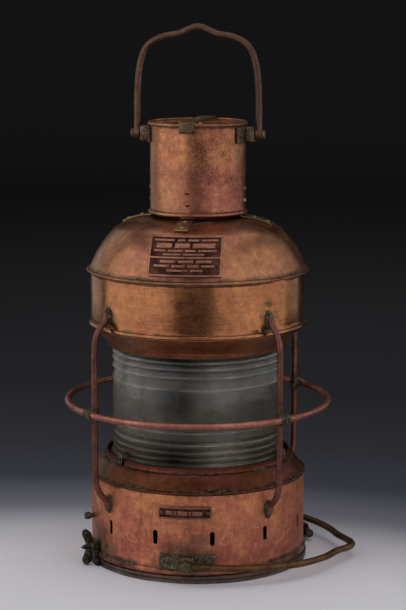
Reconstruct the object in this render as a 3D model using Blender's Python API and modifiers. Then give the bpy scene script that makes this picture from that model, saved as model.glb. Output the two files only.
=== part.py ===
"""A copper ship's anchor lantern with a drum lens, a wire guard and two carrying bails.

Metres, +Z up, front towards -Y. The origin is the centre of the tray's underside.
An azimuth is an angle in degrees from the front, -Y, towards +X.
"""

import math

import bmesh
import bpy
from mathutils import Matrix, Vector

# Sheet metal and fits
SHEET = 0.0015
GAP = 0.0003
OVERRUN = 0.004
SMALL_BITE = 0.0006
ROUND_FACETS = 36
PIPE_FACETS = 24
PIN_FACETS = 10
RIVET_FACETS = 8
BORE_FACETS = 12
MERGE_DISTANCE = 0.00001

# Tray under the lantern
TRAY_LEDGE = 0.0035
TRAY_RIM_HEIGHT = 0.009
TRAY_SHEET = 0.002
SPIGOT_HEIGHT = 0.005
SPIGOT_CLEARANCE = 0.0012

# Base drum and its shoulder
BASE_STEP = 0.0283
BASE_HEIGHT = 0.1023
FOOT_BEAD_HEIGHT = 0.0077
FOOT_BEAD_PROUD = 0.0026
SHOULDER_BEAD_HEIGHT = 0.004
SHOULDER_BEAD_PROUD = 0.0018
SHOULDER_RISE = 0.0186
SHOULDER_SKIRT = 0.0035
SEAT_WALL_HEIGHT = 0.0065
SEAT_WALL = 0.002
SEAT_CLEARANCE = 0.0063
SEAT_LEDGE = 0.004
SEAT_FLANGE_WIDTH = 0.0067

# Air slots round the base drum
SLOT_COUNT = 12
SLOT_WIDTH = 0.006
SLOT_LENGTH = 0.0184
SLOT_HEIGHT = 0.0567
SLOT_START = -10.0
SLOT_FACETS = 8

# Drum lens and its gaskets
LENS_RADIUS = 0.1107
LENS_WALL = 0.0105
LENS_HEIGHT = 0.144
LENS_STEP = 0.0034
LENS_ZONE_SHARES = (0.347, 0.5625, 0.708, 0.826, 0.93)
LENS_TREAD_SHARE = 0.004
GASKET_WIDTH = 0.0085
LOWER_GASKET_HEIGHT = 0.0045
UPPER_GASKET_HEIGHT = 0.0025

# Gallery cone above the lens
GALLERY_RISE = 0.0195
GALLERY_LIP = 0.0057
GALLERY_SKIRT = 0.012

# Hood drum, dome and flue
HOOD_INSET = 0.0007
HOOD_HEIGHT = 0.0695
HOOD_BEAD_HEIGHT = 0.0068
HOOD_BEAD_PROUD = 0.0023
DOME_OVERHANG = 0.0017
DOME_RISE = 0.0645
NECK_LEDGE = 0.003
DOME_BEAD_HEIGHT = 0.0042
DOME_BEAD_PROUD = 0.0036
DOME_SKIRT = 0.008
DOME_SHARES = (
    (0.0, 1.0),
    (0.2, 0.97),
    (0.42, 0.88),
    (0.605, 0.73),
    (0.76, 0.53),
    (0.89, 0.30),
    (0.965, 0.12),
    (1.0, 0.0),
)
FLUE_CLEARANCE = 0.021
FLUE_ABOVE = 0.075
FLUE_BELOW = 0.045
FLUE_FLANGE = 0.007

# Chimney, its legs, lid and strap
CHIMNEY_RADIUS = 0.061
CHIMNEY_HEIGHT = 0.1177
CHIMNEY_BEAD_HEIGHT = 0.0052
CHIMNEY_BEAD_PROUD = 0.0025
DRAUGHT_GAP = 0.0052
LEG_WIDTH = 0.018
LEG_THICKNESS = 0.0023
LEG_HEIGHT = 0.042
LEG_FOOT_SHARE = 0.4474
LEG_AZIMUTHS = {"front": 0.0, "right": 90.0, "back": 180.0, "left": 270.0}
LID_CLEARANCE = 0.005
LID_DEPTH = 0.0085
LID_BOSS_RADIUS = 0.006
STRAP_WIDTH = 0.020
STRAP_THICKNESS = 0.002
STRAP_DROP = 0.0132
RIVET_RADIUS = 0.0032
RIVET_HEIGHT = 0.0022

# Top lugs, pins and bail
TOP_LUG_HEIGHT = 0.0205
TOP_LUG_SPREAD = 26.0
TOP_LUG_PLATE = 0.002
TOP_LUG_WIDTH = 0.016
TOP_LUG_PROUD = 0.0135
TOP_PIVOT_BELOW_RIM = 0.0166
PIVOT_PIN_RADIUS = 0.003
PIN_HEAD_RADIUS = 0.0062
PIN_HEAD = 0.003
PIN_CLEARANCE = 0.0003
SIDE_CLEARANCE = 0.0005
EYE_THICKNESS = 0.009
EYE_RADIUS = 0.0068
TOP_BAIL_ROD_RADIUS = 0.00425
TOP_BAIL_REACH = 0.135
TOP_BAIL_SHARES = (
    (1.0, 0.0),
    (0.99, 0.2),
    (0.98, 0.39),
    (0.955, 0.583),
    (0.924, 0.679),
    (0.868, 0.776),
    (0.781, 0.840),
    (0.664, 0.884),
    (0.503, 0.914),
    (0.342, 0.927),
    (0.228, 0.953),
    (0.101, 0.989),
    (0.0, 1.0),
)

# Wire guard
GUARD_ROD_RADIUS = 0.004
GUARD_STANDOFF = 0.0167
GUARD_AZIMUTHS = {"front_left": -41.5, "front_right": 52.0, "back_right": 138.0, "back_left": 228.0}
GUARD_PAD_WIDTH = 0.011
GUARD_PAD_HEIGHT = 0.024
GUARD_PAD_THICKNESS = 0.0035
GUARD_BEND_HEIGHT = 0.034
GUARD_UPPER_PAD_RISE = 0.0145
GUARD_LOWER_PAD_DROP = 0.0175
GUARD_PAD_TUCK = 0.0045
GUARD_RING_RADIUS = 0.0042
BINDING_WALL = 0.0014
BINDING_LENGTH = 0.014

# Lens clamps
CLAMP_AZIMUTHS = {"left": -42.0, "right": 78.0, "back": 198.0}
CLAMP_WIDTH = 0.009
CLAMP_THICKNESS = 0.0022
CLAMP_HEIGHT = 0.015

# Lower lugs, pins and bail
LOWER_AXIS_AZIMUTH = 7.0
LOWER_LUG_HEIGHT = 0.0195
LOWER_LUG_SPREAD = 14.4
LOWER_LUG_PLATE = 0.0025
LOWER_LUG_WIDTH = 0.018
LOWER_LUG_PROUD = 0.0125
LOWER_PIVOT_HEIGHT = 0.0268
LOWER_BAIL_ROD_RADIUS = 0.0044
LOWER_BAIL_CLEARANCE = 0.032
LOWER_BAIL_HUMP = 0.015
LOWER_BAIL_HUMP_WIDTH = 0.045
LOWER_BAIL_DROOP = 3.3
LOWER_BAIL_POINTS = 26

# Blank plates
PLATE_THICKNESS = 0.0012
PLATE_BORDER = 0.0025
PLATE_RELIEF = 0.0007
DOME_PLATE_AZIMUTH = 5.1
DOME_PLATE_SPREAD = 19.4
DOME_PLATE_LOW_SHARE = 0.085
DOME_PLATE_HIGH_SHARE = 0.80
DOME_PLATE_RULE_SHARE = 0.60
BASE_PLATE_AZIMUTH = 5.8
BASE_PLATE_SPREAD = 13.8
BASE_PLATE_HEIGHT = 0.016
BASE_PLATE_BELOW_TOP = 0.0216
PLATE_SCREW_RADIUS = 0.0026
PLATE_SCREW_HEAD = 0.0012
PLATE_SCREW_SLOT = 0.0006
PLATE_SCREW_SPREAD = 12.0

# Latch on the left and hinge at the right rear
LATCH_AZIMUTH = -54.0
LATCH_HEIGHT = 0.024
TONGUE_WIDTH = 0.016
TONGUE_THICKNESS = 0.0025
TONGUE_CLEARANCE = 0.0025
TONGUE_ABOVE_STUD = 0.010
TONGUE_FOOT_WIDTH = 0.024
STUD_RADIUS = 0.003
STUD_CLEARANCE = 0.00075
STUD_BOSS_RADIUS = 0.0058
STUD_POINT = 0.006
NUT_BACKED_OFF = 0.0016
NUT_HUB_RADIUS = 0.007
NUT_HUB_LENGTH = 0.0085
WING_SPAN = 0.0225
WING_THICKNESS = 0.004
WING_FLARE = 0.005
KEEPER_AZIMUTH = -62.5
KEEPER_HEIGHT = 0.059
KEEPER_RADIUS = 0.00475
KEEPER_LENGTH = 0.0127
KEEPER_NECK_RADIUS = 0.003
KEEPER_NECK = 0.005
HINGE_AZIMUTH = 126.0
HINGE_HEIGHT = 0.010
HINGE_STANDOFF = 0.014
KNUCKLE_RADIUS = 0.0058
KNUCKLE_LENGTH = 0.012
HINGE_PIN_RADIUS = 0.002
HINGE_PIN_HEAD_RADIUS = 0.0032
HINGE_PIN_HEAD = 0.002
HINGE_STRAP = 0.003
HINGE_PLATE_WIDTH = 0.030
HINGE_PLATE_HEIGHT = 0.026
HINGE_PLATE_THICKNESS = 0.0025
HINGE_LEAF_THICKNESS = 0.0025

# Oil font, burner and wick
FONT_CLEARANCE = 0.032
FONT_HEIGHT = 0.060
FONT_CROWN = 0.014
FONT_MOUTH_RADIUS = 0.0135
FONT_SEAT_HEIGHT = 0.010
FONT_SEAT_WALL = 0.002
FILLER_OFFSET = 0.045
FILLER_AZIMUTH = 50.0
FILLER_RADIUS = 0.009
FILLER_BORE = 0.0065
FILLER_HEIGHT = 0.010
CAP_WALL = 0.0022
CAP_TOP = 0.003
CAP_FACETS = 16
BURNER_RADIUS = 0.020
BURNER_HEIGHT = 0.052
BURNER_NECK_RADIUS = 0.0165
BURNER_FLANGE_RADIUS = 0.022
WICK_WIDTH = 0.018
WICK_THICKNESS = 0.003
WICK_PROUD = 0.0025
WICK_TAIL = 0.045
WICK_CLEARANCE = 0.0004
WICK_TUBE_WALL = 0.0012
WICK_TUBE_ABOVE = 0.040
WICK_TUBE_BELOW = 0.045
RATCHET_RADIUS = 0.005
RATCHET_WIDTH = 0.006
SPINDLE_RADIUS = 0.0018
SPINDLE_HEIGHT = 0.026
SPINDLE_REACH = 0.012
KNOB_RADIUS = 0.009
KNOB_THICKNESS = 0.005

# Shares that shape small forms
BEAD_EDGE_SHARE = 0.22
LEG_RIVET_SHARES = (0.37, 0.73)
FOOT_RIVET_SHARES = (0.27, 0.79)
LUG_RIVET_SHARE = 0.72
FACE_SHARE = 0.998
HEAD_TOP_SHARE = 0.8
EYE_START_SHARE = 0.5
GUARD_BEND_SHARES = ((0.15, 0.0), (0.5, 0.2), (0.85, 0.52), (1.0, 1.0), (1.0, 1.35))
RING_DROP = 0.0047
SECTOR_FACETS = 10
SIDE_RELIEF_SHARE = 0.85
WING_SHARES = ((0.15, 0.16), (0.25, 0.6), (0.5, 0.95), (0.8, 1.0), (1.0, 0.8), (0.75, 0.4), (0.6, 0.12))
FONT_CROWN_SHARE = 0.42
BURNER_SHARES = (0.22, 0.4, 0.3)
AIR_HOLES = 6
AIR_HOLE_SHARE = 0.18
AIR_HOLE_RADIUS = 0.0016
KNOB_FACETS = 20
SHARP_ANGLE = 30.0

# Heights worked out from the sizes above, from the tray upwards
TRAY_TOP = TRAY_RIM_HEIGHT
BASE_BOTTOM = TRAY_TOP + GAP
BASE_TOP = BASE_BOTTOM + BASE_HEIGHT
SHOULDER_FOOT = BASE_TOP + GAP
CONE_FOOT = SHOULDER_FOOT + SHOULDER_BEAD_HEIGHT
SEAT_TOP = CONE_FOOT + SHOULDER_RISE
LOWER_GASKET_BOTTOM = SEAT_TOP + GAP
LENS_BOTTOM = LOWER_GASKET_BOTTOM + LOWER_GASKET_HEIGHT + GAP
LENS_TOP = LENS_BOTTOM + LENS_HEIGHT
UPPER_GASKET_BOTTOM = LENS_TOP + GAP
GALLERY_FLANGE = UPPER_GASKET_BOTTOM + UPPER_GASKET_HEIGHT + GAP
HOOD_BOTTOM = GALLERY_FLANGE + GALLERY_RISE
HOOD_TOP = HOOD_BOTTOM + HOOD_HEIGHT
DOME_BEAD_BOTTOM = HOOD_TOP + GAP
DOME_FOOT = DOME_BEAD_BOTTOM + DOME_BEAD_HEIGHT
DOME_TOP = DOME_FOOT + DOME_RISE
CHIMNEY_BOTTOM = DOME_TOP + DRAUGHT_GAP
CHIMNEY_TOP = CHIMNEY_BOTTOM + CHIMNEY_HEIGHT
TOP_PIVOT_HEIGHT = CHIMNEY_TOP - TOP_PIVOT_BELOW_RIM

# Radii worked out from the sizes above
FACET_SHRINK = math.cos(math.pi / ROUND_FACETS)
BASE_RADIUS = LENS_RADIUS + BASE_STEP
TRAY_RADIUS = BASE_RADIUS + TRAY_LEDGE
HOOD_RADIUS = BASE_RADIUS - HOOD_INSET
DOME_RADIUS = HOOD_RADIUS + DOME_OVERHANG
DOME_NECK_RADIUS = CHIMNEY_RADIUS + NECK_LEDGE
FLUE_RADIUS = CHIMNEY_RADIUS - FLUE_CLEARANCE
LEG_FOOT_REACH = (DOME_RADIUS - DOME_NECK_RADIUS) * LEG_FOOT_SHARE
CHIMNEY_BORE = (CHIMNEY_RADIUS - SHEET) * math.cos(math.pi / PIPE_FACETS)
SEAT_WALL_INNER = LENS_RADIUS + SEAT_CLEARANCE
SEAT_WALL_OUTER = SEAT_WALL_INNER + SEAT_WALL
SEAT_BORE = LENS_RADIUS - SEAT_FLANGE_WIDTH
FONT_RADIUS = SEAT_BORE - FONT_CLEARANCE
GUARD_RADIUS = max(BASE_RADIUS, HOOD_RADIUS) + GAP + GUARD_ROD_RADIUS + GUARD_STANDOFF
GUARD_RING_CENTRE = (GUARD_RADIUS + GUARD_ROD_RADIUS + GAP + GUARD_RING_RADIUS) / FACET_SHRINK
HINGE_RADIUS = TRAY_RADIUS + HINGE_STANDOFF
LOWER_BAIL_REACH = HINGE_RADIUS + LOWER_BAIL_CLEARANCE
LENS_MIDDLE = LENS_BOTTOM + LENS_HEIGHT / 2
PLATE_BASE = GAP * 2

parts = None
cutters = None


def clear_scene():
    for thing in list(bpy.data.objects):
        bpy.data.objects.remove(thing)


def new_collection(name):
    collection = bpy.data.collections.new(name)
    bpy.context.scene.collection.children.link(collection)
    return collection


def metal(name, colour, roughness, metallic=1.0, alpha=1.0):
    material = bpy.data.materials.new(name)
    material.use_nodes = True
    shader = material.node_tree.nodes["Principled BSDF"]
    shader.inputs["Base Color"].default_value = (*colour, 1.0)
    shader.inputs["Roughness"].default_value = roughness
    shader.inputs["Metallic"].default_value = metallic
    shader.inputs["Alpha"].default_value = alpha
    return material


def to_object(name, bm):
    """A mesh object from bm, with its faces pointing outwards."""
    bmesh.ops.recalc_face_normals(bm, faces=bm.faces)
    mesh = bpy.data.meshes.new(name)
    bm.to_mesh(mesh)
    bm.free()
    return bpy.data.objects.new(name, mesh)


def outward(azimuth, radius, height=0.0):
    angle = math.radians(azimuth)
    return Vector((radius * math.sin(angle), -radius * math.cos(angle), height))


def box(low, high):
    """A box between two corners."""
    bm = bmesh.new()
    size = [b - a for a, b in zip(low, high)]
    middle = [(a + b) / 2 for a, b in zip(low, high)]
    bmesh.ops.create_cube(bm, size=1, matrix=Matrix.Translation(middle) @ Matrix.Diagonal((*size, 1)))
    return to_object("box", bm)


def rod(start, end, radius, end_radius=None, facets=PIN_FACETS, flatten=1.0):
    """A round bar or cone between two points. flatten narrows it along its local X."""
    start, end = Vector(start), Vector(end)
    along = end - start
    turn = along.to_track_quat("Z", "Y").to_matrix().to_4x4()
    place = Matrix.Translation((start + end) / 2) @ turn @ Matrix.Diagonal((flatten, 1, 1, 1))
    top = radius if end_radius is None else end_radius
    bm = bmesh.new()
    bmesh.ops.create_cone(bm, cap_ends=True, segments=facets, radius1=radius, radius2=top,
                          depth=along.length, matrix=place)
    return to_object("rod", bm)


def turned(name, outline, facets=ROUND_FACETS, closed=True, wall=None):
    """A turned shape. The outline (radius, height) runs down the outer side, top to bottom."""
    bm = bmesh.new()
    corners = [bm.verts.new((radius, 0, height)) for radius, height in outline]
    pairs = list(zip(corners, corners[1:]))
    if closed:
        pairs.append((corners[-1], corners[0]))
    for pair in pairs:
        bm.edges.new(pair)
    mesh = bpy.data.meshes.new(name)
    bm.to_mesh(mesh)
    bm.free()
    shape = bpy.data.objects.new(name, mesh)
    screw = shape.modifiers.new("Turn", "SCREW")
    screw.steps = screw.render_steps = facets
    screw.use_merge_vertices = True
    screw.merge_threshold = MERGE_DISTANCE
    if wall:
        skin = shape.modifiers.new("Wall", "SOLIDIFY")
        skin.thickness = wall
        skin.offset = -1
        skin.use_even_offset = True
    return shape


def sector(outline, azimuth, spread, facets):
    """A closed outline (radius, height) swept round the lantern's axis, spread to each side."""
    bm = bmesh.new()
    start = Matrix.Rotation(math.radians(azimuth - spread), 4, "Z")
    corners = [bm.verts.new(start @ Vector((0, -radius, height))) for radius, height in outline]
    face = bm.faces.new(corners)
    bmesh.ops.spin(bm, geom=[face], cent=(0, 0, 0), axis=(0, 0, 1), dvec=(0, 0, 0),
                   angle=math.radians(2 * spread), steps=facets, use_duplicate=False)
    bmesh.ops.remove_doubles(bm, verts=bm.verts, dist=MERGE_DISTANCE)
    return to_object("sector", bm)


def pressed(outline, half_width, across="X"):
    """A flat outline (reach, height) extruded to each side: reach runs to -Y, or to +X."""
    bm = bmesh.new()
    if across == "X":
        corners = [bm.verts.new((-half_width, -reach, height)) for reach, height in outline]
        move = (2 * half_width, 0, 0)
    else:
        corners = [bm.verts.new((reach, -half_width, height)) for reach, height in outline]
        move = (0, 2 * half_width, 0)
    face = bm.faces.new(corners)
    grown = bmesh.ops.extrude_face_region(bm, geom=[face], use_keep_orig=True)
    moved = [item for item in grown["geom"] if isinstance(item, bmesh.types.BMVert)]
    bmesh.ops.translate(bm, verts=moved, vec=move)
    return to_object("pressed", bm)


def offset_line(points, distance):
    """The open line moved sideways by distance, to the left of its direction, with mitred corners."""
    points = [Vector(point) for point in points]
    moved = []
    for index, point in enumerate(points):
        sides = []
        for a, b in ((index - 1, index), (index, index + 1)):
            if a >= 0 and b < len(points):
                along = (points[b] - points[a]).normalized()
                sides.append(Vector((-along.y, along.x)))
        middle = sum(sides, Vector((0, 0))).normalized()
        moved.append(point + middle * distance / middle.dot(sides[0]))
    return [tuple(point) for point in moved]


def sheet_outline(points, thickness):
    """The closed outline of a sheet that lies to the left of an open line."""
    return list(points) + offset_line(points, thickness)[::-1]


def wire(points, radius, closed=False, resolution=2):
    """A closed mesh tube along points."""
    curve = bpy.data.curves.new("wire", "CURVE")
    curve.dimensions = "3D"
    curve.bevel_depth = radius
    curve.bevel_resolution = resolution
    curve.use_fill_caps = True
    spline = curve.splines.new("POLY")
    spline.points.add(len(points) - 1)
    for target, point in zip(spline.points, points):
        target.co = (*point, 1)
    spline.use_cyclic_u = closed
    route = bpy.data.objects.new("wire", curve)
    bpy.context.scene.collection.objects.link(route)
    graph = bpy.context.evaluated_depsgraph_get()
    mesh = bpy.data.meshes.new_from_object(route.evaluated_get(graph))
    bpy.data.objects.remove(route)
    bm = bmesh.new()
    bm.from_mesh(mesh)
    bmesh.ops.remove_doubles(bm, verts=bm.verts, dist=MERGE_DISTANCE)
    return to_object("wire", bm)


def part(name, material, shape, add=(), cut=(), azimuth=0.0, place=(0, 0, 0)):
    """Name shape as a finished piece, join and cut it, and put it at its azimuth."""
    shape.name = name
    shape.data.name = name
    parts.objects.link(shape)
    shape.location = place
    shape.rotation_euler.z = math.radians(azimuth)
    shape.data.materials.clear()
    shape.data.materials.append(material)
    for operation, helpers in (("UNION", add), ("DIFFERENCE", cut)):
        for helper in helpers:
            helper.name = f"{name}_{operation.lower()}"
            cutters.objects.link(helper)
            helper.parent = shape
            helper.hide_render = True
            helper.display_type = "WIRE"
            joint = shape.modifiers.new(operation.title(), "BOOLEAN")
            joint.operation = operation
            joint.object = helper
    return shape


def round_head(centre, direction, radius, height, facets=RIVET_FACETS):
    """A rivet head: a low cone frustum that stands on centre and bites a little into its seat."""
    direction = Vector(direction).normalized()
    centre = Vector(centre)
    return rod(centre - direction * SMALL_BITE, centre + direction * height, radius, radius / 2, facets)


def dome_line():
    """The dome's outer line (radius, height), from its neck down to its foot."""
    reach = DOME_RADIUS - DOME_NECK_RADIUS
    return [
        (DOME_NECK_RADIUS + reach * out, DOME_FOOT + DOME_RISE * up)
        for out, up in DOME_SHARES
    ]


def dome_point(height):
    """The radius of the dome's outer line at a height."""
    line = dome_line()
    for (r_high, high), (r_low, low) in zip(line, line[1:]):
        if low <= height <= high:
            return r_low + (r_high - r_low) * (height - low) / (high - low)
    return DOME_RADIUS


def tray(bronze):
    """A flat floor in a rolled rim, whose spigot centres the base drum."""
    spigot = BASE_RADIUS - SHEET - SPIGOT_CLEARANCE
    outline = [
        (spigot, TRAY_TOP + SPIGOT_HEIGHT),
        (spigot, TRAY_TOP),
        (TRAY_RADIUS, TRAY_TOP),
        (TRAY_RADIUS, 0),
    ]
    part("base_tray", bronze, turned("base_tray", outline, closed=False, wall=TRAY_SHEET))
    inside = TRAY_RADIUS - TRAY_SHEET - GAP
    part("tray_floor", bronze, rod((0, 0, 0), (0, 0, TRAY_SHEET), inside, facets=ROUND_FACETS))


def base_drum(copper):
    bead_top = BASE_BOTTOM + FOOT_BEAD_HEIGHT
    proud = BASE_RADIUS + FOOT_BEAD_PROUD
    outline = [
        (BASE_RADIUS, BASE_TOP),
        (BASE_RADIUS, bead_top),
        (proud, BASE_BOTTOM + FOOT_BEAD_HEIGHT * (1 - BEAD_EDGE_SHARE)),
        (proud, BASE_BOTTOM + FOOT_BEAD_HEIGHT * BEAD_EDGE_SHARE),
        (BASE_RADIUS, BASE_BOTTOM),
    ]
    slots = []
    for index in range(SLOT_COUNT):
        azimuth = SLOT_START + index * 360 / SLOT_COUNT
        low = SLOT_HEIGHT - (SLOT_LENGTH - SLOT_WIDTH) / 2
        high = SLOT_HEIGHT + (SLOT_LENGTH - SLOT_WIDTH) / 2
        inner = BASE_RADIUS - SHEET - OVERRUN
        outer = BASE_RADIUS + OVERRUN
        half = SLOT_WIDTH / 2
        bm = bmesh.new()
        corners = []
        for step in range(SLOT_FACETS):
            angle = math.pi * (step // (SLOT_FACETS // 2) + step % (SLOT_FACETS // 2)
                               / (SLOT_FACETS // 2 - 1))
            level = high if step < SLOT_FACETS // 2 else low
            side, up = half * math.cos(angle), half * math.sin(angle)
            corners.append(bm.verts.new((side, -inner, level + up)))
        face = bm.faces.new(corners)
        grown = bmesh.ops.extrude_face_region(bm, geom=[face], use_keep_orig=True)
        moved = [item for item in grown["geom"] if isinstance(item, bmesh.types.BMVert)]
        bmesh.ops.translate(bm, verts=moved, vec=(0, inner - outer, 0))
        bmesh.ops.rotate(bm, verts=bm.verts, matrix=Matrix.Rotation(math.radians(azimuth), 3, "Z"))
        slots.append(to_object("slot", bm))
    part("base_drum", copper, turned("base_drum", outline, closed=False, wall=SHEET), cut=slots)


def base_shoulder(copper):
    skirt = BASE_RADIUS - SHEET - GAP
    inner = skirt - SHEET
    proud = BASE_RADIUS + SHOULDER_BEAD_PROUD
    bead_middle = SHOULDER_FOOT + SHOULDER_BEAD_HEIGHT / 2
    ledge = SEAT_WALL_OUTER + SEAT_LEDGE
    outline = [
        (SEAT_WALL_OUTER, SEAT_TOP + SEAT_WALL_HEIGHT),
        (SEAT_WALL_OUTER, SEAT_TOP),
        (ledge, SEAT_TOP - SHEET / 2),
        (BASE_RADIUS - SHEET, CONE_FOOT),
        (proud, bead_middle + SHOULDER_BEAD_HEIGHT / 4),
        (proud, bead_middle - SHOULDER_BEAD_HEIGHT / 4),
        (BASE_RADIUS, SHOULDER_FOOT),
        (skirt, SHOULDER_FOOT),
        (skirt, SHOULDER_FOOT - SHOULDER_SKIRT),
        (inner, SHOULDER_FOOT - SHOULDER_SKIRT),
        (inner, CONE_FOOT - SHEET),
        (ledge - SHEET, SEAT_TOP - 2 * SHEET),
        (SEAT_BORE, SEAT_TOP - SHEET),
        (SEAT_BORE, SEAT_TOP),
        (SEAT_WALL_INNER, SEAT_TOP),
        (SEAT_WALL_INNER, SEAT_TOP + SEAT_WALL_HEIGHT),
    ]
    part("base_shoulder", copper, turned("base_shoulder", outline))


def ring(name, material, outer, inner, bottom, height, facets=ROUND_FACETS):
    top = bottom + height
    outline = [(outer, top), (outer, bottom), (inner, bottom), (inner, top)]
    return part(name, material, turned(name, outline, facets))


def lens(glass):
    """A drum lens: a convex belt in the middle and stepped rings above and below it."""
    half = LENS_HEIGHT / 2
    low = LENS_RADIUS - LENS_STEP
    upper = [(LENS_RADIUS, 0.0), (LENS_RADIUS - LENS_STEP / 4, LENS_ZONE_SHARES[0] / 2)]
    upper.append((low, LENS_ZONE_SHARES[0]))
    for start, end in zip(LENS_ZONE_SHARES, LENS_ZONE_SHARES[1:]):
        upper += [(LENS_RADIUS, start + LENS_TREAD_SHARE), (low, end)]
    upper += [(LENS_RADIUS, LENS_ZONE_SHARES[-1] + LENS_TREAD_SHARE), (LENS_RADIUS, 1.0)]
    outer = [(radius, LENS_MIDDLE + share * half) for radius, share in upper[::-1]]
    outer += [(radius, LENS_MIDDLE - share * half) for radius, share in upper[1:]]
    inner = LENS_RADIUS - LENS_WALL
    outer += [(inner, LENS_BOTTOM), (inner, LENS_TOP)]
    part("fresnel_lens", glass, turned("fresnel_lens", outer))


def gallery(copper):
    skirt = HOOD_RADIUS - SHEET - GAP
    lip = SEAT_WALL_OUTER - SEAT_WALL
    inner = SEAT_BORE
    outline = [
        (skirt, HOOD_BOTTOM + GALLERY_SKIRT),
        (skirt, HOOD_BOTTOM),
        (lip, GALLERY_FLANGE),
        (lip, GALLERY_FLANGE - GALLERY_LIP),
        (lip - SHEET, GALLERY_FLANGE - GALLERY_LIP),
        (lip - SHEET, GALLERY_FLANGE),
        (inner, GALLERY_FLANGE),
        (inner, GALLERY_FLANGE + SHEET),
        (lip - SHEET, GALLERY_FLANGE + SHEET),
        (skirt - SHEET, HOOD_BOTTOM + SHEET),
        (skirt - SHEET, HOOD_BOTTOM + GALLERY_SKIRT),
    ]
    part("gallery_cone", copper, turned("gallery_cone", outline))


def hood_drum(copper):
    proud = HOOD_RADIUS + HOOD_BEAD_PROUD
    outline = [
        (HOOD_RADIUS, HOOD_TOP),
        (HOOD_RADIUS, HOOD_BOTTOM + HOOD_BEAD_HEIGHT),
        (proud, HOOD_BOTTOM + HOOD_BEAD_HEIGHT * (1 - BEAD_EDGE_SHARE)),
        (proud, HOOD_BOTTOM + HOOD_BEAD_HEIGHT * BEAD_EDGE_SHARE),
        (HOOD_RADIUS, HOOD_BOTTOM),
    ]
    part("hood_drum", copper, turned("hood_drum", outline, closed=False, wall=SHEET))


def hood_dome(copper):
    line = dome_line()
    hole = FLUE_RADIUS + GAP
    skirt = HOOD_RADIUS - SHEET - GAP
    proud = DOME_RADIUS + DOME_BEAD_PROUD
    middle = DOME_BEAD_BOTTOM + DOME_BEAD_HEIGHT / 2
    inside = offset_line(line, -SHEET)
    outline = [(hole, DOME_TOP)] + line[:-1] + [
        (DOME_RADIUS, DOME_FOOT),
        (proud, middle + DOME_BEAD_HEIGHT / 4),
        (proud, middle - DOME_BEAD_HEIGHT / 4),
        (HOOD_RADIUS, DOME_BEAD_BOTTOM),
        (skirt, DOME_BEAD_BOTTOM),
        (skirt, DOME_BEAD_BOTTOM - DOME_SKIRT),
        (skirt - SHEET, DOME_BEAD_BOTTOM - DOME_SKIRT),
        (skirt - SHEET, DOME_FOOT),
    ] + inside[-2:0:-1] + [(DOME_NECK_RADIUS, DOME_TOP - SHEET), (hole, DOME_TOP - SHEET)]
    part("hood_dome", copper, turned("hood_dome", outline))


def flue(copper):
    flange = DOME_TOP + GAP
    outline = [
        (FLUE_RADIUS, flange + FLUE_ABOVE),
        (FLUE_RADIUS, flange + SHEET),
        (FLUE_RADIUS + FLUE_FLANGE, flange + SHEET),
        (FLUE_RADIUS + FLUE_FLANGE, flange),
        (FLUE_RADIUS, flange),
        (FLUE_RADIUS, DOME_TOP - FLUE_BELOW),
        (FLUE_RADIUS - SHEET, DOME_TOP - FLUE_BELOW),
        (FLUE_RADIUS - SHEET, flange + FLUE_ABOVE),
    ]
    part("flue_pipe", copper, turned("flue_pipe", outline, PIPE_FACETS))


def chimney(copper):
    proud = CHIMNEY_RADIUS + CHIMNEY_BEAD_PROUD
    outline = [
        (CHIMNEY_RADIUS, CHIMNEY_TOP),
        (proud, CHIMNEY_TOP - CHIMNEY_BEAD_HEIGHT * BEAD_EDGE_SHARE),
        (proud, CHIMNEY_TOP - CHIMNEY_BEAD_HEIGHT * (1 - BEAD_EDGE_SHARE)),
        (CHIMNEY_RADIUS, CHIMNEY_TOP - CHIMNEY_BEAD_HEIGHT),
        (CHIMNEY_RADIUS, CHIMNEY_BOTTOM + CHIMNEY_BEAD_HEIGHT),
        (proud, CHIMNEY_BOTTOM + CHIMNEY_BEAD_HEIGHT * (1 - BEAD_EDGE_SHARE)),
        (proud, CHIMNEY_BOTTOM + CHIMNEY_BEAD_HEIGHT * BEAD_EDGE_SHARE),
        (CHIMNEY_RADIUS, CHIMNEY_BOTTOM),
    ]
    rivets = []
    for azimuth in LEG_AZIMUTHS.values():
        for share in LEG_RIVET_SHARES:
            height = CHIMNEY_BOTTOM + LEG_HEIGHT * share
            rivets.append(round_head(outward(azimuth, CHIMNEY_RADIUS, height), outward(azimuth, 1),
                                     RIVET_RADIUS, RIVET_HEIGHT))
    shell = turned("chimney_shell", outline, PIPE_FACETS, closed=False, wall=SHEET)
    part("chimney_shell", copper, shell, add=rivets)


def chimney_legs(brass):
    """Four straps that hold the chimney off the dome: inside its wall, then out over the dome."""
    half = LEG_WIDTH / 2
    face = math.sqrt(CHIMNEY_BORE ** 2 - half ** 2) - GAP
    seat = DOME_TOP + GAP
    end = DOME_NECK_RADIUS + LEG_FOOT_REACH
    under = [point for point in dome_line() if point[0] < end] + [(end, dome_height(end))]
    inner_line = offset_line(under, GAP)[::-1]
    inner_line += [(face - LEG_THICKNESS, seat), (face - LEG_THICKNESS, CHIMNEY_BOTTOM + LEG_HEIGHT)]
    outer_line = [(face, CHIMNEY_BOTTOM + LEG_HEIGHT), (face, seat + LEG_THICKNESS)]
    outer_line += offset_line(under, GAP + LEG_THICKNESS)
    for side, azimuth in LEG_AZIMUTHS.items():
        rivets = []
        for share in FOOT_RIVET_SHARES:
            radius = DOME_NECK_RADIUS + LEG_FOOT_REACH * share
            height = seat - DOME_TOP + dome_height(radius) + LEG_THICKNESS
            rivets.append(round_head((0, -radius, height), (0, 0, 1), RIVET_RADIUS, RIVET_HEIGHT))
        part(f"chimney_leg_{side}", brass, pressed(inner_line + outer_line, half), add=rivets,
             azimuth=azimuth)


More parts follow.
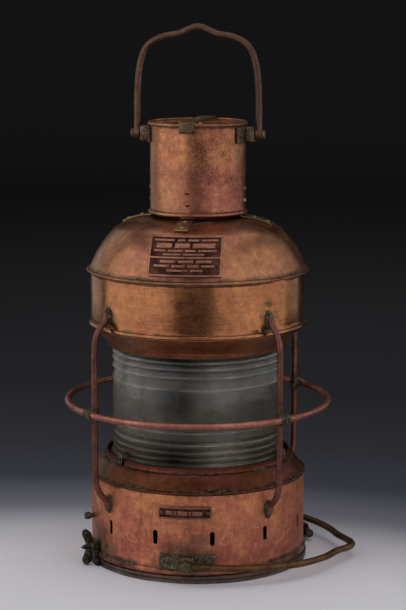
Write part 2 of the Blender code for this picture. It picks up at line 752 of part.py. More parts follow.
def dome_height(radius):
    """The height of the dome's outer line at a radius."""
    line = dome_line()
    for (r_in, high), (r_out, low) in zip(line, line[1:]):
        if r_in <= radius <= r_out:
            return high + (low - high) * (radius - r_in) / (r_out - r_in)
    return DOME_TOP


def chimney_top(copper, brass):
    lid = CHIMNEY_BORE - LID_CLEARANCE
    low = CHIMNEY_TOP - LID_DEPTH
    boss_top = CHIMNEY_TOP
    outline = [
        (0, boss_top),
        (LID_BOSS_RADIUS, boss_top),
        (LID_BOSS_RADIUS, low),
        (lid, low),
        (lid, low - SHEET),
        (0, low - SHEET),
    ]
    part("chimney_lid", copper, turned("chimney_lid", outline, PIPE_FACETS, closed=False))
    reach = CHIMNEY_RADIUS + CHIMNEY_BEAD_PROUD + GAP
    seat = CHIMNEY_TOP + GAP
    line = [(-reach, seat - STRAP_DROP), (-reach, seat), (reach, seat), (reach, seat - STRAP_DROP)]
    part("lid_strap", brass, pressed(sheet_outline(line, STRAP_THICKNESS), STRAP_WIDTH / 2))


def hat_lug(name, material, radius, azimuth, bottom, height, spread, plate, width, proud, pivot):
    """A curved plate with a square block on its middle, bored for a pivot pin."""
    inner = radius + PLATE_BASE
    outer = inner + plate
    top = bottom + height
    outline = [(outer, top), (outer, bottom), (inner, bottom), (inner, top)]
    base = sector(outline, 0, spread, SECTOR_FACETS)
    face = radius + proud
    block = box((-width / 2, -face, bottom + SMALL_BITE), (width / 2, -inner - plate / 2, top - SMALL_BITE))
    bore = rod((0, -inner - plate, pivot), (0, -face - OVERRUN, pivot), PIVOT_PIN_RADIUS + PIN_CLEARANCE)
    rivets = []
    for side in (-1, 1):
        angle = math.radians(side * spread * LUG_RIVET_SHARE)
        way = Vector((math.sin(angle), -math.cos(angle), 0))
        seat = way * outer * FACE_SHARE + Vector((0, 0, pivot))
        rivets.append(round_head(seat, way, RIVET_RADIUS, RIVET_HEIGHT))
    part(name, material, base, add=[block] + rivets, cut=[bore], azimuth=azimuth)


def pivot_pin(name, material, radius, plate, proud, azimuth, pivot):
    """A headed pin that goes through a bail's eye into its lug."""
    start = radius + PLATE_BASE + plate + GAP
    head = radius + proud + SIDE_CLEARANCE * 2 + EYE_THICKNESS
    shaft = rod((0, -start, pivot), (0, -head - SMALL_BITE, pivot), PIVOT_PIN_RADIUS)
    cap = rod((0, -head, pivot), (0, -head - PIN_HEAD, pivot), PIN_HEAD_RADIUS,
              PIN_HEAD_RADIUS * HEAD_TOP_SHARE)
    part(name, material, shaft, add=[cap], azimuth=azimuth)


def bail_eye(centre, direction):
    """The flattened eye at a bail's end, and the bore through it."""
    along = Vector(direction)
    centre = Vector(centre)
    half = along * (EYE_THICKNESS / 2)
    over = along * (EYE_THICKNESS / 2 + OVERRUN)
    return (
        rod(centre - half, centre + half, EYE_RADIUS),
        rod(centre - over, centre + over, PIVOT_PIN_RADIUS + PIN_CLEARANCE),
    )


def top_bail(brass):
    eye = CHIMNEY_RADIUS + TOP_LUG_PROUD + SIDE_CLEARANCE + EYE_THICKNESS / 2
    start = EYE_RADIUS * EYE_START_SHARE
    half = [(eye * out, 0, start + (TOP_BAIL_REACH - start) * up) for out, up in TOP_BAIL_SHARES]
    line = half + [(-reach, 0, height) for reach, _, height in half[-2::-1]]
    add, cut = [], []
    for side in (-1, 1):
        shape, bore = bail_eye((side * eye, 0, 0), (1, 0, 0))
        add.append(shape)
        cut.append(bore)
    part("top_bail", brass, wire(line, TOP_BAIL_ROD_RADIUS), add=add, cut=cut,
         place=(0, 0, TOP_PIVOT_HEIGHT))


def lower_bail(brass):
    eye = BASE_RADIUS + LOWER_LUG_PROUD + SIDE_CLEARANCE + EYE_THICKNESS / 2
    start = math.asin(EYE_RADIUS * EYE_START_SHARE / LOWER_BAIL_REACH)
    droop = Matrix.Rotation(math.radians(LOWER_BAIL_DROOP), 3, "Y")
    line = []
    for index in range(LOWER_BAIL_POINTS + 1):
        angle = start + (math.pi - 2 * start) * index / LOWER_BAIL_POINTS
        reach, side = LOWER_BAIL_REACH * math.sin(angle), -eye * math.cos(angle)
        near = min(abs(side) / LOWER_BAIL_HUMP_WIDTH, 1)
        reach += LOWER_BAIL_HUMP * (1 + math.cos(math.pi * near)) / 2
        line.append(droop @ Vector((reach, side, 0)))
    add, cut = [], []
    for side in (-1, 1):
        shape, bore = bail_eye((0, side * eye, 0), (0, 1, 0))
        add.append(shape)
        cut.append(bore)
    part("lower_bail", brass, wire(line, LOWER_BAIL_ROD_RADIUS), add=add, cut=cut,
         azimuth=LOWER_AXIS_AZIMUTH, place=(0, 0, LOWER_PIVOT_HEIGHT))


def guard_rod(name, material, azimuth):
    """An upright rod that bends in at both ends to a riveted pad on the hood and on the base."""
    upper_pad = HOOD_BOTTOM + GUARD_UPPER_PAD_RISE + GUARD_PAD_HEIGHT / 2 - GUARD_PAD_TUCK
    lower_pad = BASE_TOP - GUARD_LOWER_PAD_DROP - GUARD_PAD_HEIGHT / 2 + GUARD_PAD_TUCK
    upper_seat, lower_seat = HOOD_RADIUS + GAP, BASE_RADIUS + GAP
    line = []
    for seat, pad, way in ((upper_seat, upper_pad, -1), (lower_seat, lower_pad, 1)):
        close = seat + GUARD_ROD_RADIUS
        away = GUARD_RADIUS - close
        bend = [
            (0, -close - away * out, pad + way * (GUARD_PAD_HEIGHT / 4 + GUARD_BEND_HEIGHT * down))
            for out, down in GUARD_BEND_SHARES
        ]
        line.append([(0, -close, pad)] + bend)
    points = line[0] + line[1][::-1]
    pads = []
    for seat, pad in ((upper_seat, upper_pad), (lower_seat, lower_pad)):
        half = GUARD_PAD_HEIGHT / 2
        plate = rod((0, -seat, pad), (0, -seat - GUARD_PAD_THICKNESS, pad), half, half * HEAD_TOP_SHARE,
                    flatten=GUARD_PAD_WIDTH / GUARD_PAD_HEIGHT)
        pads.append(plate)
    part(name, material, wire(points, GUARD_ROD_RADIUS), add=pads, azimuth=azimuth)


def guard_ring(material):
    line = [outward(360 * index / ROUND_FACETS, GUARD_RING_CENTRE, LENS_MIDDLE - RING_DROP)
            for index in range(ROUND_FACETS)]
    part("guard_ring", material, wire(line, GUARD_RING_RADIUS, closed=True))


def ring_binding(name, material, azimuth):
    """A soldered sleeve round an upright rod, crossed by one round the guard ring."""
    height = LENS_MIDDLE - RING_DROP
    half = BINDING_LENGTH / 2
    ring_reach = (GUARD_RING_CENTRE + GUARD_RING_CENTRE * FACET_SHRINK) / 2
    rod_bore, ring_bore = GUARD_ROD_RADIUS + GAP, GUARD_RING_RADIUS + GAP * 2
    upright = rod((0, -GUARD_RADIUS, height - half), (0, -GUARD_RADIUS, height + half),
                  rod_bore + BINDING_WALL)
    round_ring = rod((-half, -ring_reach, height), (half, -ring_reach, height), ring_bore + BINDING_WALL)
    over = half + OVERRUN
    rod_cut = rod((0, -GUARD_RADIUS, height - over), (0, -GUARD_RADIUS, height + over), rod_bore,
                  facets=BORE_FACETS)
    ring_cut = rod((-over, -ring_reach, height), (over, -ring_reach, height), ring_bore, facets=BORE_FACETS)
    part(name, material, upright, add=[round_ring], cut=[rod_cut, ring_cut], azimuth=azimuth)


def lens_clamp(name, material, azimuth):
    """A strap on the shoulder's ledge, hooked over the lens foot."""
    inner = SEAT_WALL_OUTER + GAP * 2
    foot = SEAT_TOP + GAP
    top = foot + CLAMP_HEIGHT
    tip = LENS_RADIUS + GAP * 2
    outline = [
        (inner + CLAMP_THICKNESS, foot),
        (inner + CLAMP_THICKNESS, top),
        (tip, top),
        (tip, top - CLAMP_THICKNESS),
        (inner, top - CLAMP_THICKNESS),
        (inner, foot),
    ]
    part(name, material, pressed(outline, CLAMP_WIDTH / 2), azimuth=azimuth)


def blank_plates(brass):
    """A framed plate on the dome, with a rule and bare bars, and a framed bare plate on the base."""
    low = DOME_FOOT + DOME_RISE * DOME_PLATE_LOW_SHARE
    high = DOME_FOOT + DOME_RISE * DOME_PLATE_HIGH_SHARE
    inside = [(dome_point(high), high)]
    inside += [point for point in dome_line() if low < point[1] < high]
    inside += [(dome_point(low), low)]
    seat = offset_line(inside, PLATE_BASE)
    face = offset_line(inside, PLATE_BASE + PLATE_THICKNESS)
    plate = sector(seat + face[::-1], 0, DOME_PLATE_SPREAD, SECTOR_FACETS)
    raised = offset_line(inside, PLATE_BASE + PLATE_THICKNESS + PLATE_RELIEF)
    lower = offset_line(inside, PLATE_BASE + PLATE_THICKNESS + PLATE_RELIEF * SIDE_RELIEF_SHARE)
    middle = offset_line(inside, PLATE_BASE + PLATE_THICKNESS / 2)
    border = math.degrees(PLATE_BORDER / dome_point((low + high) / 2))
    add = []
    for share in (0, 1, 1 - DOME_PLATE_RULE_SHARE):
        add.append(plate_bar(middle, raised, share, DOME_PLATE_SPREAD * FACE_SHARE))
    for side in (-1, 1):
        reach = DOME_PLATE_SPREAD * FACE_SHARE ** 2 - border / 2
        add.append(sector(middle + lower[::-1], side * reach, border / 2, 1))
    for shape in [plate] + add:
        straighten(shape, dome_point(low))
    part("dome_plate", brass, plate, add=add, azimuth=DOME_PLATE_AZIMUTH)

    inner = BASE_RADIUS + PLATE_BASE
    top = BASE_TOP - (BASE_PLATE_BELOW_TOP - BASE_PLATE_HEIGHT / 2)
    bottom = top - BASE_PLATE_HEIGHT
    flat, proud = inner + PLATE_THICKNESS, inner + PLATE_THICKNESS + PLATE_RELIEF
    outline = [
        (proud, top),
        (proud, top - PLATE_BORDER / 2),
        (flat, top - PLATE_BORDER / 2),
        (flat, bottom + PLATE_BORDER / 2),
        (proud, bottom + PLATE_BORDER / 2),
        (proud, bottom),
        (inner, bottom),
        (inner, top),
    ]
    part("base_plate", brass, sector(outline, 0, BASE_PLATE_SPREAD, SECTOR_FACETS),
         azimuth=BASE_PLATE_AZIMUTH)
    for side, way in (("left", -1), ("right", 1)):
        middle = (top + bottom) / 2
        start = flat + GAP
        head = rod((0, -start, middle), (0, -start - PLATE_SCREW_HEAD, middle), PLATE_SCREW_RADIUS)
        reach, half = PLATE_SCREW_RADIUS * 2, PLATE_SCREW_SLOT / 2
        groove = box((-reach, -start - PLATE_SCREW_HEAD * 2, middle - half),
                     (reach, -start - PLATE_SCREW_HEAD / 2, middle + half))
        part(f"base_plate_screw_{side}", brass, head, cut=[groove],
             azimuth=BASE_PLATE_AZIMUTH + way * PLATE_SCREW_SPREAD)


def straighten(shape, radius):
    """Give a sector the width all the way up that it has at a radius, as a flat sheet laid on it has."""
    for vertex in shape.data.vertices:
        reach = math.hypot(vertex.co.x, vertex.co.y)
        angle = math.atan2(vertex.co.x, -vertex.co.y) * radius / reach
        vertex.co.x, vertex.co.y = reach * math.sin(angle), -reach * math.cos(angle)


def plate_bar(middle, raised, share, spread):
    """A raised bar across the dome plate, as thick as its border, at a share of the way down it."""
    count = len(middle) - 1
    lengths = [(Vector(b) - Vector(a)).length for a, b in zip(middle, middle[1:])]
    total = sum(lengths)
    half = PLATE_BORDER / 2
    centre = GAP + half + (total - PLATE_BORDER - GAP * 2) * share

    def at(line, distance):
        for index in range(count):
            if distance <= lengths[index] or index == count - 1:
                return tuple(Vector(line[index]).lerp(Vector(line[index + 1]), distance / lengths[index]))
            distance -= lengths[index]
        return line[-1]

    start, end = centre - half, centre + half
    return sector([at(middle, start), at(middle, end), at(raised, end), at(raised, start)], 0, spread,
                  SECTOR_FACETS)


def latch(bronze, brass):
    """A slotted tongue on the tray, a threaded stud on the drum and the wing nut between wings."""
    foot_in = TRAY_RADIUS + GAP
    back = BASE_RADIUS + FOOT_BEAD_PROUD + TONGUE_CLEARANCE
    face = back + TONGUE_THICKNESS
    half = TONGUE_WIDTH / 2
    slot = STUD_RADIUS + STUD_CLEARANCE
    tongue = box((-half, -face, GAP), (half, -back, LATCH_HEIGHT + TONGUE_ABOVE_STUD))
    foot = box((-TONGUE_FOOT_WIDTH / 2, -face, GAP),
               (TONGUE_FOOT_WIDTH / 2, -foot_in, TRAY_RIM_HEIGHT - GAP))
    cut = box((-slot, -face - OVERRUN, LATCH_HEIGHT - slot),
              (slot, -foot_in, LATCH_HEIGHT + TONGUE_ABOVE_STUD + OVERRUN))
    part("tray_tongue", bronze, tongue, add=[foot], cut=[cut], azimuth=LATCH_AZIMUTH)

    hub_start = face + NUT_BACKED_OFF
    tip = hub_start + NUT_HUB_LENGTH + STUD_POINT / 2
    boss = rod((0, -BASE_RADIUS - GAP, LATCH_HEIGHT), (0, -back + GAP * 2, LATCH_HEIGHT), STUD_BOSS_RADIUS)
    shaft = rod((0, -BASE_RADIUS - GAP * 2, LATCH_HEIGHT), (0, -tip, LATCH_HEIGHT), STUD_RADIUS)
    point = rod((0, -tip + SMALL_BITE, LATCH_HEIGHT), (0, -tip - STUD_POINT, LATCH_HEIGHT),
                STUD_RADIUS, STUD_RADIUS / 4)
    part("latch_stud", brass, boss, add=[shaft, point], azimuth=LATCH_AZIMUTH)

    hub = rod((0, 0, 0), (0, -NUT_HUB_LENGTH, 0), NUT_HUB_RADIUS)
    reach = NUT_HUB_LENGTH + WING_FLARE
    wings = []
    for way in (-1, 1):
        outline = [(reach * out, way * WING_SPAN * up) for out, up in WING_SHARES]
        wings.append(pressed(outline, WING_THICKNESS / 2))
    bore = rod((0, OVERRUN, 0), (0, -NUT_HUB_LENGTH - OVERRUN, 0), STUD_RADIUS + PIN_CLEARANCE)
    place = outward(LATCH_AZIMUTH, hub_start, LATCH_HEIGHT)
    part("wing_nut", brass, hub, add=wings, cut=[bore], azimuth=LATCH_AZIMUTH, place=place)

    start = BASE_RADIUS + GAP
    head = start + KEEPER_NECK
    neck = rod((0, -start, KEEPER_HEIGHT), (0, -head - SMALL_BITE, KEEPER_HEIGHT), KEEPER_NECK_RADIUS)
    cap = rod((0, -head, KEEPER_HEIGHT), (0, -start - KEEPER_LENGTH, KEEPER_HEIGHT), KEEPER_RADIUS)
    part("keeper_stud", brass, neck, add=[cap], azimuth=KEEPER_AZIMUTH)


def hinge(bronze, brass):
    """Two knuckles on the tray and one on the drum, on one pin."""
    middle = KNUCKLE_LENGTH / 2
    start = middle + GAP
    end = start + KNUCKLE_LENGTH
    over = end + OVERRUN
    bore_radius = HINGE_PIN_RADIUS + PIN_CLEARANCE

    def bore():
        return rod((-over, -HINGE_RADIUS, HINGE_HEIGHT), (over, -HINGE_RADIUS, HINGE_HEIGHT), bore_radius,
                   facets=BORE_FACETS)

    leaf_in = TRAY_RADIUS + GAP
    plate = box((-end, -leaf_in - HINGE_LEAF_THICKNESS, GAP), (end, -leaf_in, TRAY_RIM_HEIGHT - GAP))
    add = []
    low = HINGE_HEIGHT - KNUCKLE_RADIUS
    for way in (-1, 1):
        near, far = sorted((way * start, way * end))
        add.append(rod((near, -HINGE_RADIUS, HINGE_HEIGHT), (far, -HINGE_RADIUS, HINGE_HEIGHT),
                       KNUCKLE_RADIUS))
        inset = GAP / 2
        add.append(box((near + inset, -HINGE_RADIUS, low + SMALL_BITE),
                       (far - inset, -leaf_in - HINGE_LEAF_THICKNESS / 2, HINGE_HEIGHT - HINGE_PIN_RADIUS)))
    part("tray_hinge_leaf", bronze, plate, add=add, cut=[bore()], azimuth=HINGE_AZIMUTH)

    seat = BASE_RADIUS + GAP
    strap_low = HINGE_HEIGHT + KNUCKLE_RADIUS + HINGE_STRAP
    strap_high = strap_low + HINGE_STRAP
    back = box((-HINGE_PLATE_WIDTH / 2, -seat - HINGE_PLATE_THICKNESS, strap_low),
               (HINGE_PLATE_WIDTH / 2, -seat, strap_low + HINGE_PLATE_HEIGHT))
    outer = HINGE_RADIUS + HINGE_STRAP
    arm = box((-middle + GAP, -outer, strap_low + SMALL_BITE),
              (middle - GAP, -seat - SMALL_BITE, strap_high))
    drop = box((-middle + GAP, -outer + SMALL_BITE, HINGE_HEIGHT),
               (middle - GAP, -HINGE_RADIUS + HINGE_STRAP, strap_high - SMALL_BITE))
    barrel = rod((-middle, -HINGE_RADIUS, HINGE_HEIGHT), (middle, -HINGE_RADIUS, HINGE_HEIGHT),
                 KNUCKLE_RADIUS)
    rivets = []
    for way in (-1, 1):
        centre = (way * HINGE_PLATE_WIDTH / 4, -seat - HINGE_PLATE_THICKNESS,
                  strap_high + HINGE_PLATE_HEIGHT / 2)
        rivets.append(round_head(centre, (0, -1, 0), RIVET_RADIUS, RIVET_HEIGHT))
    part("hinge_bracket", brass, back, add=[arm, drop, barrel] + rivets, cut=[bore()], azimuth=HINGE_AZIMUTH)

    shaft = rod((-end, -HINGE_RADIUS, HINGE_HEIGHT), (end + GAP + SMALL_BITE, -HINGE_RADIUS, HINGE_HEIGHT),
                HINGE_PIN_RADIUS, facets=BORE_FACETS)
    head = rod((end + GAP, -HINGE_RADIUS, HINGE_HEIGHT),
               (end + GAP + HINGE_PIN_HEAD, -HINGE_RADIUS, HINGE_HEIGHT),
               HINGE_PIN_HEAD_RADIUS, facets=BORE_FACETS)
    part("hinge_pin", brass, shaft, add=[head], azimuth=HINGE_AZIMUTH)


def oil_font(brass):
    """The oil tank in its seat ring on the tray, with a filler neck and a screwed cap."""
    floor = TRAY_SHEET + GAP
    top = floor + FONT_HEIGHT
    outline = [
        (FONT_MOUTH_RADIUS, top + FONT_CROWN),
        (FONT_RADIUS * FONT_CROWN_SHARE, top + FONT_CROWN),
        (FONT_RADIUS, top),
        (FONT_RADIUS, floor),
        (0, floor),
    ]
    slope = FONT_CROWN / (FONT_RADIUS * (1 - FONT_CROWN_SHARE))
    neck_base = top + FONT_CROWN - slope * max(FILLER_OFFSET - FONT_RADIUS * FONT_CROWN_SHARE, 0)
    neck_top = neck_base + FILLER_HEIGHT
    turned_at = outward(FILLER_AZIMUTH, FILLER_OFFSET)
    depth = FONT_CROWN
    neck = rod(turned_at + Vector((0, 0, neck_base - slope * FILLER_RADIUS)),
               turned_at + Vector((0, 0, neck_top)), FILLER_RADIUS, facets=CAP_FACETS)
    bore = rod(turned_at + Vector((0, 0, neck_base - depth)),
               turned_at + Vector((0, 0, neck_top + OVERRUN)), FILLER_BORE, facets=CAP_FACETS)
    part("oil_font", brass, turned("oil_font", outline, PIPE_FACETS, closed=False, wall=SHEET),
         add=[neck], cut=[bore])
    seat_inner = FONT_RADIUS + GAP
    ring("font_seat", brass, seat_inner + FONT_SEAT_WALL, seat_inner, floor, FONT_SEAT_HEIGHT, PIPE_FACETS)

    inner = FILLER_RADIUS + PIN_CLEARANCE
    low, roof = -FILLER_HEIGHT / 2, GAP
    cap = [
        (0, roof + CAP_TOP),
        (inner + CAP_WALL, roof + CAP_TOP),
        (inner + CAP_WALL, low),
        (inner, low),
        (inner, roof),
        (0, roof),
    ]
    part("filler_cap", brass, turned("filler_cap", cap, CAP_FACETS, closed=False),
         place=turned_at + Vector((0, 0, neck_top)))


def burner(brass, cotton):
    """The burner on the font's mouth, with its wick tube, wick, ratchet wheel and knob."""
    seat = TRAY_SHEET + GAP + FONT_HEIGHT + FONT_CROWN + GAP
    tube_half_wide = WICK_WIDTH / 2 + WICK_CLEARANCE + WICK_TUBE_WALL
    tube_half_thick = WICK_THICKNESS / 2 + WICK_CLEARANCE + WICK_TUBE_WALL
    mouth = math.hypot(tube_half_wide, tube_half_thick) + GAP
    top = seat + BURNER_HEIGHT
    spindle = seat + SPINDLE_HEIGHT
    outline = [
        (mouth, top),
        (mouth + SHEET, top),
        (BURNER_RADIUS, top - BURNER_HEIGHT * BURNER_SHARES[0]),
        (BURNER_RADIUS, seat + BURNER_HEIGHT * BURNER_SHARES[1]),
        (BURNER_NECK_RADIUS, seat + BURNER_HEIGHT * BURNER_SHARES[2]),
        (BURNER_NECK_RADIUS, seat + SHEET),
        (BURNER_FLANGE_RADIUS, seat + SHEET),
        (BURNER_FLANGE_RADIUS, seat),
        (BURNER_NECK_RADIUS, seat),
        (BURNER_NECK_RADIUS - SHEET, seat),
        (BURNER_NECK_RADIUS - SHEET, seat + BURNER_HEIGHT * BURNER_SHARES[2]),
        (BURNER_RADIUS - SHEET, seat + BURNER_HEIGHT * BURNER_SHARES[1]),
        (BURNER_RADIUS - SHEET, top - BURNER_HEIGHT * BURNER_SHARES[0]),
        (mouth, top - SHEET),
    ]
    bearing = WICK_THICKNESS / 2 + GAP + RATCHET_RADIUS
    hole = rod((bearing, 0, spindle), (bearing, BURNER_RADIUS + OVERRUN, spindle),
               SPINDLE_RADIUS + PIN_CLEARANCE)
    holes = [hole]
    for index in range(AIR_HOLES):
        angle = 360 * (index + 0.5) / AIR_HOLES + 90
        level = seat + BURNER_HEIGHT * AIR_HOLE_SHARE
        holes.append(rod(outward(angle, BURNER_NECK_RADIUS - SHEET - OVERRUN, level),
                         outward(angle, BURNER_RADIUS + OVERRUN, level), AIR_HOLE_RADIUS,
                         facets=RIVET_FACETS))
    part("burner_body", brass, turned("burner_body", outline, PIPE_FACETS), cut=holes)

    tube_top = top + WICK_TUBE_ABOVE
    tube_low = top - WICK_TUBE_BELOW
    bore_wide, bore_thick = WICK_WIDTH / 2 + WICK_CLEARANCE, WICK_THICKNESS / 2 + WICK_CLEARANCE
    tube = box((-tube_half_thick, -tube_half_wide, tube_low), (tube_half_thick, tube_half_wide, tube_top))
    bore = box((-bore_thick, -bore_wide, tube_low - OVERRUN), (bore_thick, bore_wide, tube_top + OVERRUN))
    window_high = RATCHET_RADIUS + GAP * 2
    window = box((bore_thick / 2, -RATCHET_WIDTH / 2 - GAP, spindle - window_high),
                 (tube_half_thick + OVERRUN, RATCHET_WIDTH / 2 + GAP, spindle + window_high))
    part("wick_tube", brass, tube, cut=[bore, window])
    part("wick", cotton, box((-WICK_THICKNESS / 2, -WICK_WIDTH / 2, tube_low - WICK_TAIL),
                             (WICK_THICKNESS / 2, WICK_WIDTH / 2, tube_top + WICK_PROUD)))

    half = RATCHET_WIDTH / 2
    wheel = rod((0, -half, 0), (0, half, 0), RATCHET_RADIUS, facets=BORE_FACETS)
    knob_start = BURNER_RADIUS + SPINDLE_REACH
    shaft = rod((0, half - SMALL_BITE, 0), (0, knob_start + SMALL_BITE, 0), SPINDLE_RADIUS)
    knob = rod((0, knob_start, 0), (0, knob_start + KNOB_THICKNESS, 0), KNOB_RADIUS, facets=KNOB_FACETS)
    part("wick_knob", brass, wheel, add=[shaft, knob], place=(bearing, 0, spindle))


def main():
    global parts, cutters
    clear_scene()
    parts = new_collection("ship_lantern")
    cutters = new_collection("cutters")

    copper = metal("aged_copper", (0.58, 0.27, 0.13), 0.38)
    pink_copper = metal("base_copper", (0.60, 0.30, 0.20), 0.45)
    gold_copper = metal("hood_copper", (0.60, 0.33, 0.14), 0.34)
    red_copper = metal("red_copper", (0.42, 0.19, 0.12), 0.45)
    rod_copper = metal("rod_copper", (0.50, 0.28, 0.22), 0.42)
    bronze = metal("dark_bronze", (0.22, 0.17, 0.12), 0.55)
    brass = metal("old_brass", (0.55, 0.42, 0.20), 0.40)
    verdigris = metal("green_brass", (0.30, 0.31, 0.22), 0.65)
    glass = metal("lens_glass", (0.62, 0.68, 0.64), 0.08, metallic=0.0, alpha=0.35)
    packing = metal("gasket_packing", (0.16, 0.12, 0.10), 0.85, metallic=0.0)
    cotton = metal("wick_cotton", (0.75, 0.70, 0.60), 0.90, metallic=0.0)

    tray(bronze)
    base_drum(pink_copper)
    base_shoulder(red_copper)
    seal = SEAT_BORE + GAP
    ring("lower_gasket", packing, seal + GASKET_WIDTH, seal, LOWER_GASKET_BOTTOM, LOWER_GASKET_HEIGHT)
    lens(glass)
    ring("upper_gasket", packing, seal + GASKET_WIDTH, seal, UPPER_GASKET_BOTTOM, UPPER_GASKET_HEIGHT)
    gallery(red_copper)
    hood_drum(gold_copper)
    hood_dome(gold_copper)
    flue(copper)
    chimney(copper)
    chimney_legs(brass)
    chimney_top(copper, brass)

    for side, azimuth in (("right", 90.0), ("left", -90.0)):
        hat_lug(f"top_lug_{side}", verdigris, CHIMNEY_RADIUS, azimuth,
                TOP_PIVOT_HEIGHT - TOP_LUG_HEIGHT / 2, TOP_LUG_HEIGHT, TOP_LUG_SPREAD, TOP_LUG_PLATE,
                TOP_LUG_WIDTH, TOP_LUG_PROUD, TOP_PIVOT_HEIGHT)
        pivot_pin(f"top_pin_{side}", brass, CHIMNEY_RADIUS, TOP_LUG_PLATE, TOP_LUG_PROUD, azimuth,
                  TOP_PIVOT_HEIGHT)
    top_bail(copper)

    for side, azimuth in (("front", LOWER_AXIS_AZIMUTH), ("back", LOWER_AXIS_AZIMUTH + 180.0)):
        hat_lug(f"lower_lug_{side}", verdigris, BASE_RADIUS, azimuth,
                LOWER_PIVOT_HEIGHT - LOWER_LUG_HEIGHT / 2, LOWER_LUG_HEIGHT, LOWER_LUG_SPREAD,
                LOWER_LUG_PLATE, LOWER_LUG_WIDTH, LOWER_LUG_PROUD, LOWER_PIVOT_HEIGHT)
        pivot_pin(f"lower_pin_{side}", brass, BASE_RADIUS, LOWER_LUG_PLATE, LOWER_LUG_PROUD, azimuth,
                  LOWER_PIVOT_HEIGHT)
    lower_bail(brass)

    for side, azimuth in GUARD_AZIMUTHS.items():
        guard_rod(f"guard_rod_{side}", rod_copper, azimuth)
        ring_binding(f"ring_binding_{side}", verdigris, azimuth)
    guard_ring(rod_copper)
    for side, azimuth in CLAMP_AZIMUTHS.items():
        lens_clamp(f"lens_clamp_{side}", verdigris, azimuth)
    blank_plates(brass)
    latch(verdigris, verdigris)
    hinge(bronze, brass)
    oil_font(brass)
    burner(brass, cotton)

    for shape in parts.objects:
        shape.data.shade_smooth()
        shape.data.set_sharp_from_angle(angle=math.radians(SHARP_ANGLE))


main()
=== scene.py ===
"""The looks of a copper ship's anchor lantern, modelled over its fixed frame. Metres, +Z up, front -Y."""

import math

import bmesh
import bpy
from mathutils import Matrix, Vector


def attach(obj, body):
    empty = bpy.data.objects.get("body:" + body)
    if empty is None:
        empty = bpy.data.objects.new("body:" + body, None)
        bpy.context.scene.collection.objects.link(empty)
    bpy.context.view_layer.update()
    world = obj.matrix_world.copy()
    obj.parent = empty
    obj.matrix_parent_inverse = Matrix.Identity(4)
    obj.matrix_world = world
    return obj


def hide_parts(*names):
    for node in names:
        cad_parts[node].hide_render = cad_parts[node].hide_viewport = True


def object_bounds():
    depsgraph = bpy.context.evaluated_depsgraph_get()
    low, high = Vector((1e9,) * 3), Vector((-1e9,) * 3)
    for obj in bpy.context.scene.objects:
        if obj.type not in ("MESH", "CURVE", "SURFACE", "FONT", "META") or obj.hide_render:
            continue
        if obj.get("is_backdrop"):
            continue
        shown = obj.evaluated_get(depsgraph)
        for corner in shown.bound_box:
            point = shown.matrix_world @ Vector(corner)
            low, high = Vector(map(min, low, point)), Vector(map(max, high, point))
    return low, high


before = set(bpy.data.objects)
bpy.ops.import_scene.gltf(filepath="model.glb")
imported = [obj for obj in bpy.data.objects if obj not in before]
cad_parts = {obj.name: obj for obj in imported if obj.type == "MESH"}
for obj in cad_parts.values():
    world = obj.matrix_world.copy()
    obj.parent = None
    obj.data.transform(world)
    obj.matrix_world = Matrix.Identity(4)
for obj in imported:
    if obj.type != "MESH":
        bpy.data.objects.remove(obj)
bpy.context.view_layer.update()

MM = 0.001
STEPS = 160
SHEET = 0.0015
BODY = "lantern_body"
TRAY = "base_tray"

# Sizes and places that several pieces share, in metres and in degrees from the front
DRUM_RADIUS = 0.139
HOOD_RADIUS = 0.1383
CHIMNEY_RADIUS = 0.061
LENS_MIDDLE = 0.2116
TOP_PIVOT = 0.551
LOWER_PIVOT = 0.0268
LOWER_BAIL_AZIMUTH = 7
RING_LEVEL = 0.2069
GUARD_REACH = 0.160
GUARD_AZIMUTHS = {"front_left": -41.5, "front_right": 52.0, "back_right": 138.0, "back_left": 228.0}
LATCH_AZIMUTH = -54
LATCH_LEVEL = 0.024
HINGE_AZIMUTH = 126
HINGE_PIN = (0, -0.1565, 0.010)
DOME_FOOT, DOME_RISE = 0.3802, 0.0645
DOME_PLATE_AZIMUTH = 5.1
DOME_PLATE_LOW, DOME_PLATE_HIGH, DOME_PLATE_SPREAD = 0.085, 0.80, 19.4
BASE_PLATE_AZIMUTH = 5.8
BASE_PLATE_SPREAD = 13.8
FRONT_TO_BACK = (math.pi / 2, 0, 0)


def colour(red, green, blue):
    """A linear colour from the 0 to 255 values that a screen shows."""
    return tuple((value / 255) ** 2.2 for value in (red, green, blue)) + (1.0,)


def toned(tint, red, green=None, blue=None):
    """The tint with its channels multiplied, by one factor or by three, as a linear colour."""
    factors = (red, red if green is None else green, red if blue is None else blue)
    return colour(*[min(255, value * factor) for value, factor in zip(tint, factors)])


def deselect():
    """Leave nothing selected."""
    bpy.ops.object.select_all(action="DESELECT")


def only(thing):
    """Select one object and make it the active one."""
    deselect()
    thing.select_set(True)
    bpy.context.view_layer.objects.active = thing
    return thing


def apply_all(thing):
    """Apply the object's modifiers, in their order."""
    only(thing)
    for modifier in list(thing.modifiers):
        bpy.ops.object.modifier_apply(modifier=modifier.name)
    return thing


def settle(thing):
    """Put the object's place into its mesh, so that its object sits at the origin."""
    only(thing)
    bpy.ops.object.transform_apply(location=True, rotation=True, scale=True)
    return thing


def recalculate(thing, merge=0.00001):
    """Merge doubled points and turn the faces outwards."""
    only(thing)
    bpy.ops.object.mode_set(mode="EDIT")
    bpy.ops.mesh.select_all(action="SELECT")
    bpy.ops.mesh.remove_doubles(threshold=merge)
    bpy.ops.mesh.normals_make_consistent(inside=False)
    bpy.ops.object.mode_set(mode="OBJECT")
    return thing


def modify(thing, kind, **settings):
    """Add one modifier and apply it at once."""
    modifier = thing.modifiers.new(kind.title(), kind)
    for name, value in settings.items():
        setattr(modifier, name, value)
    return apply_all(thing)


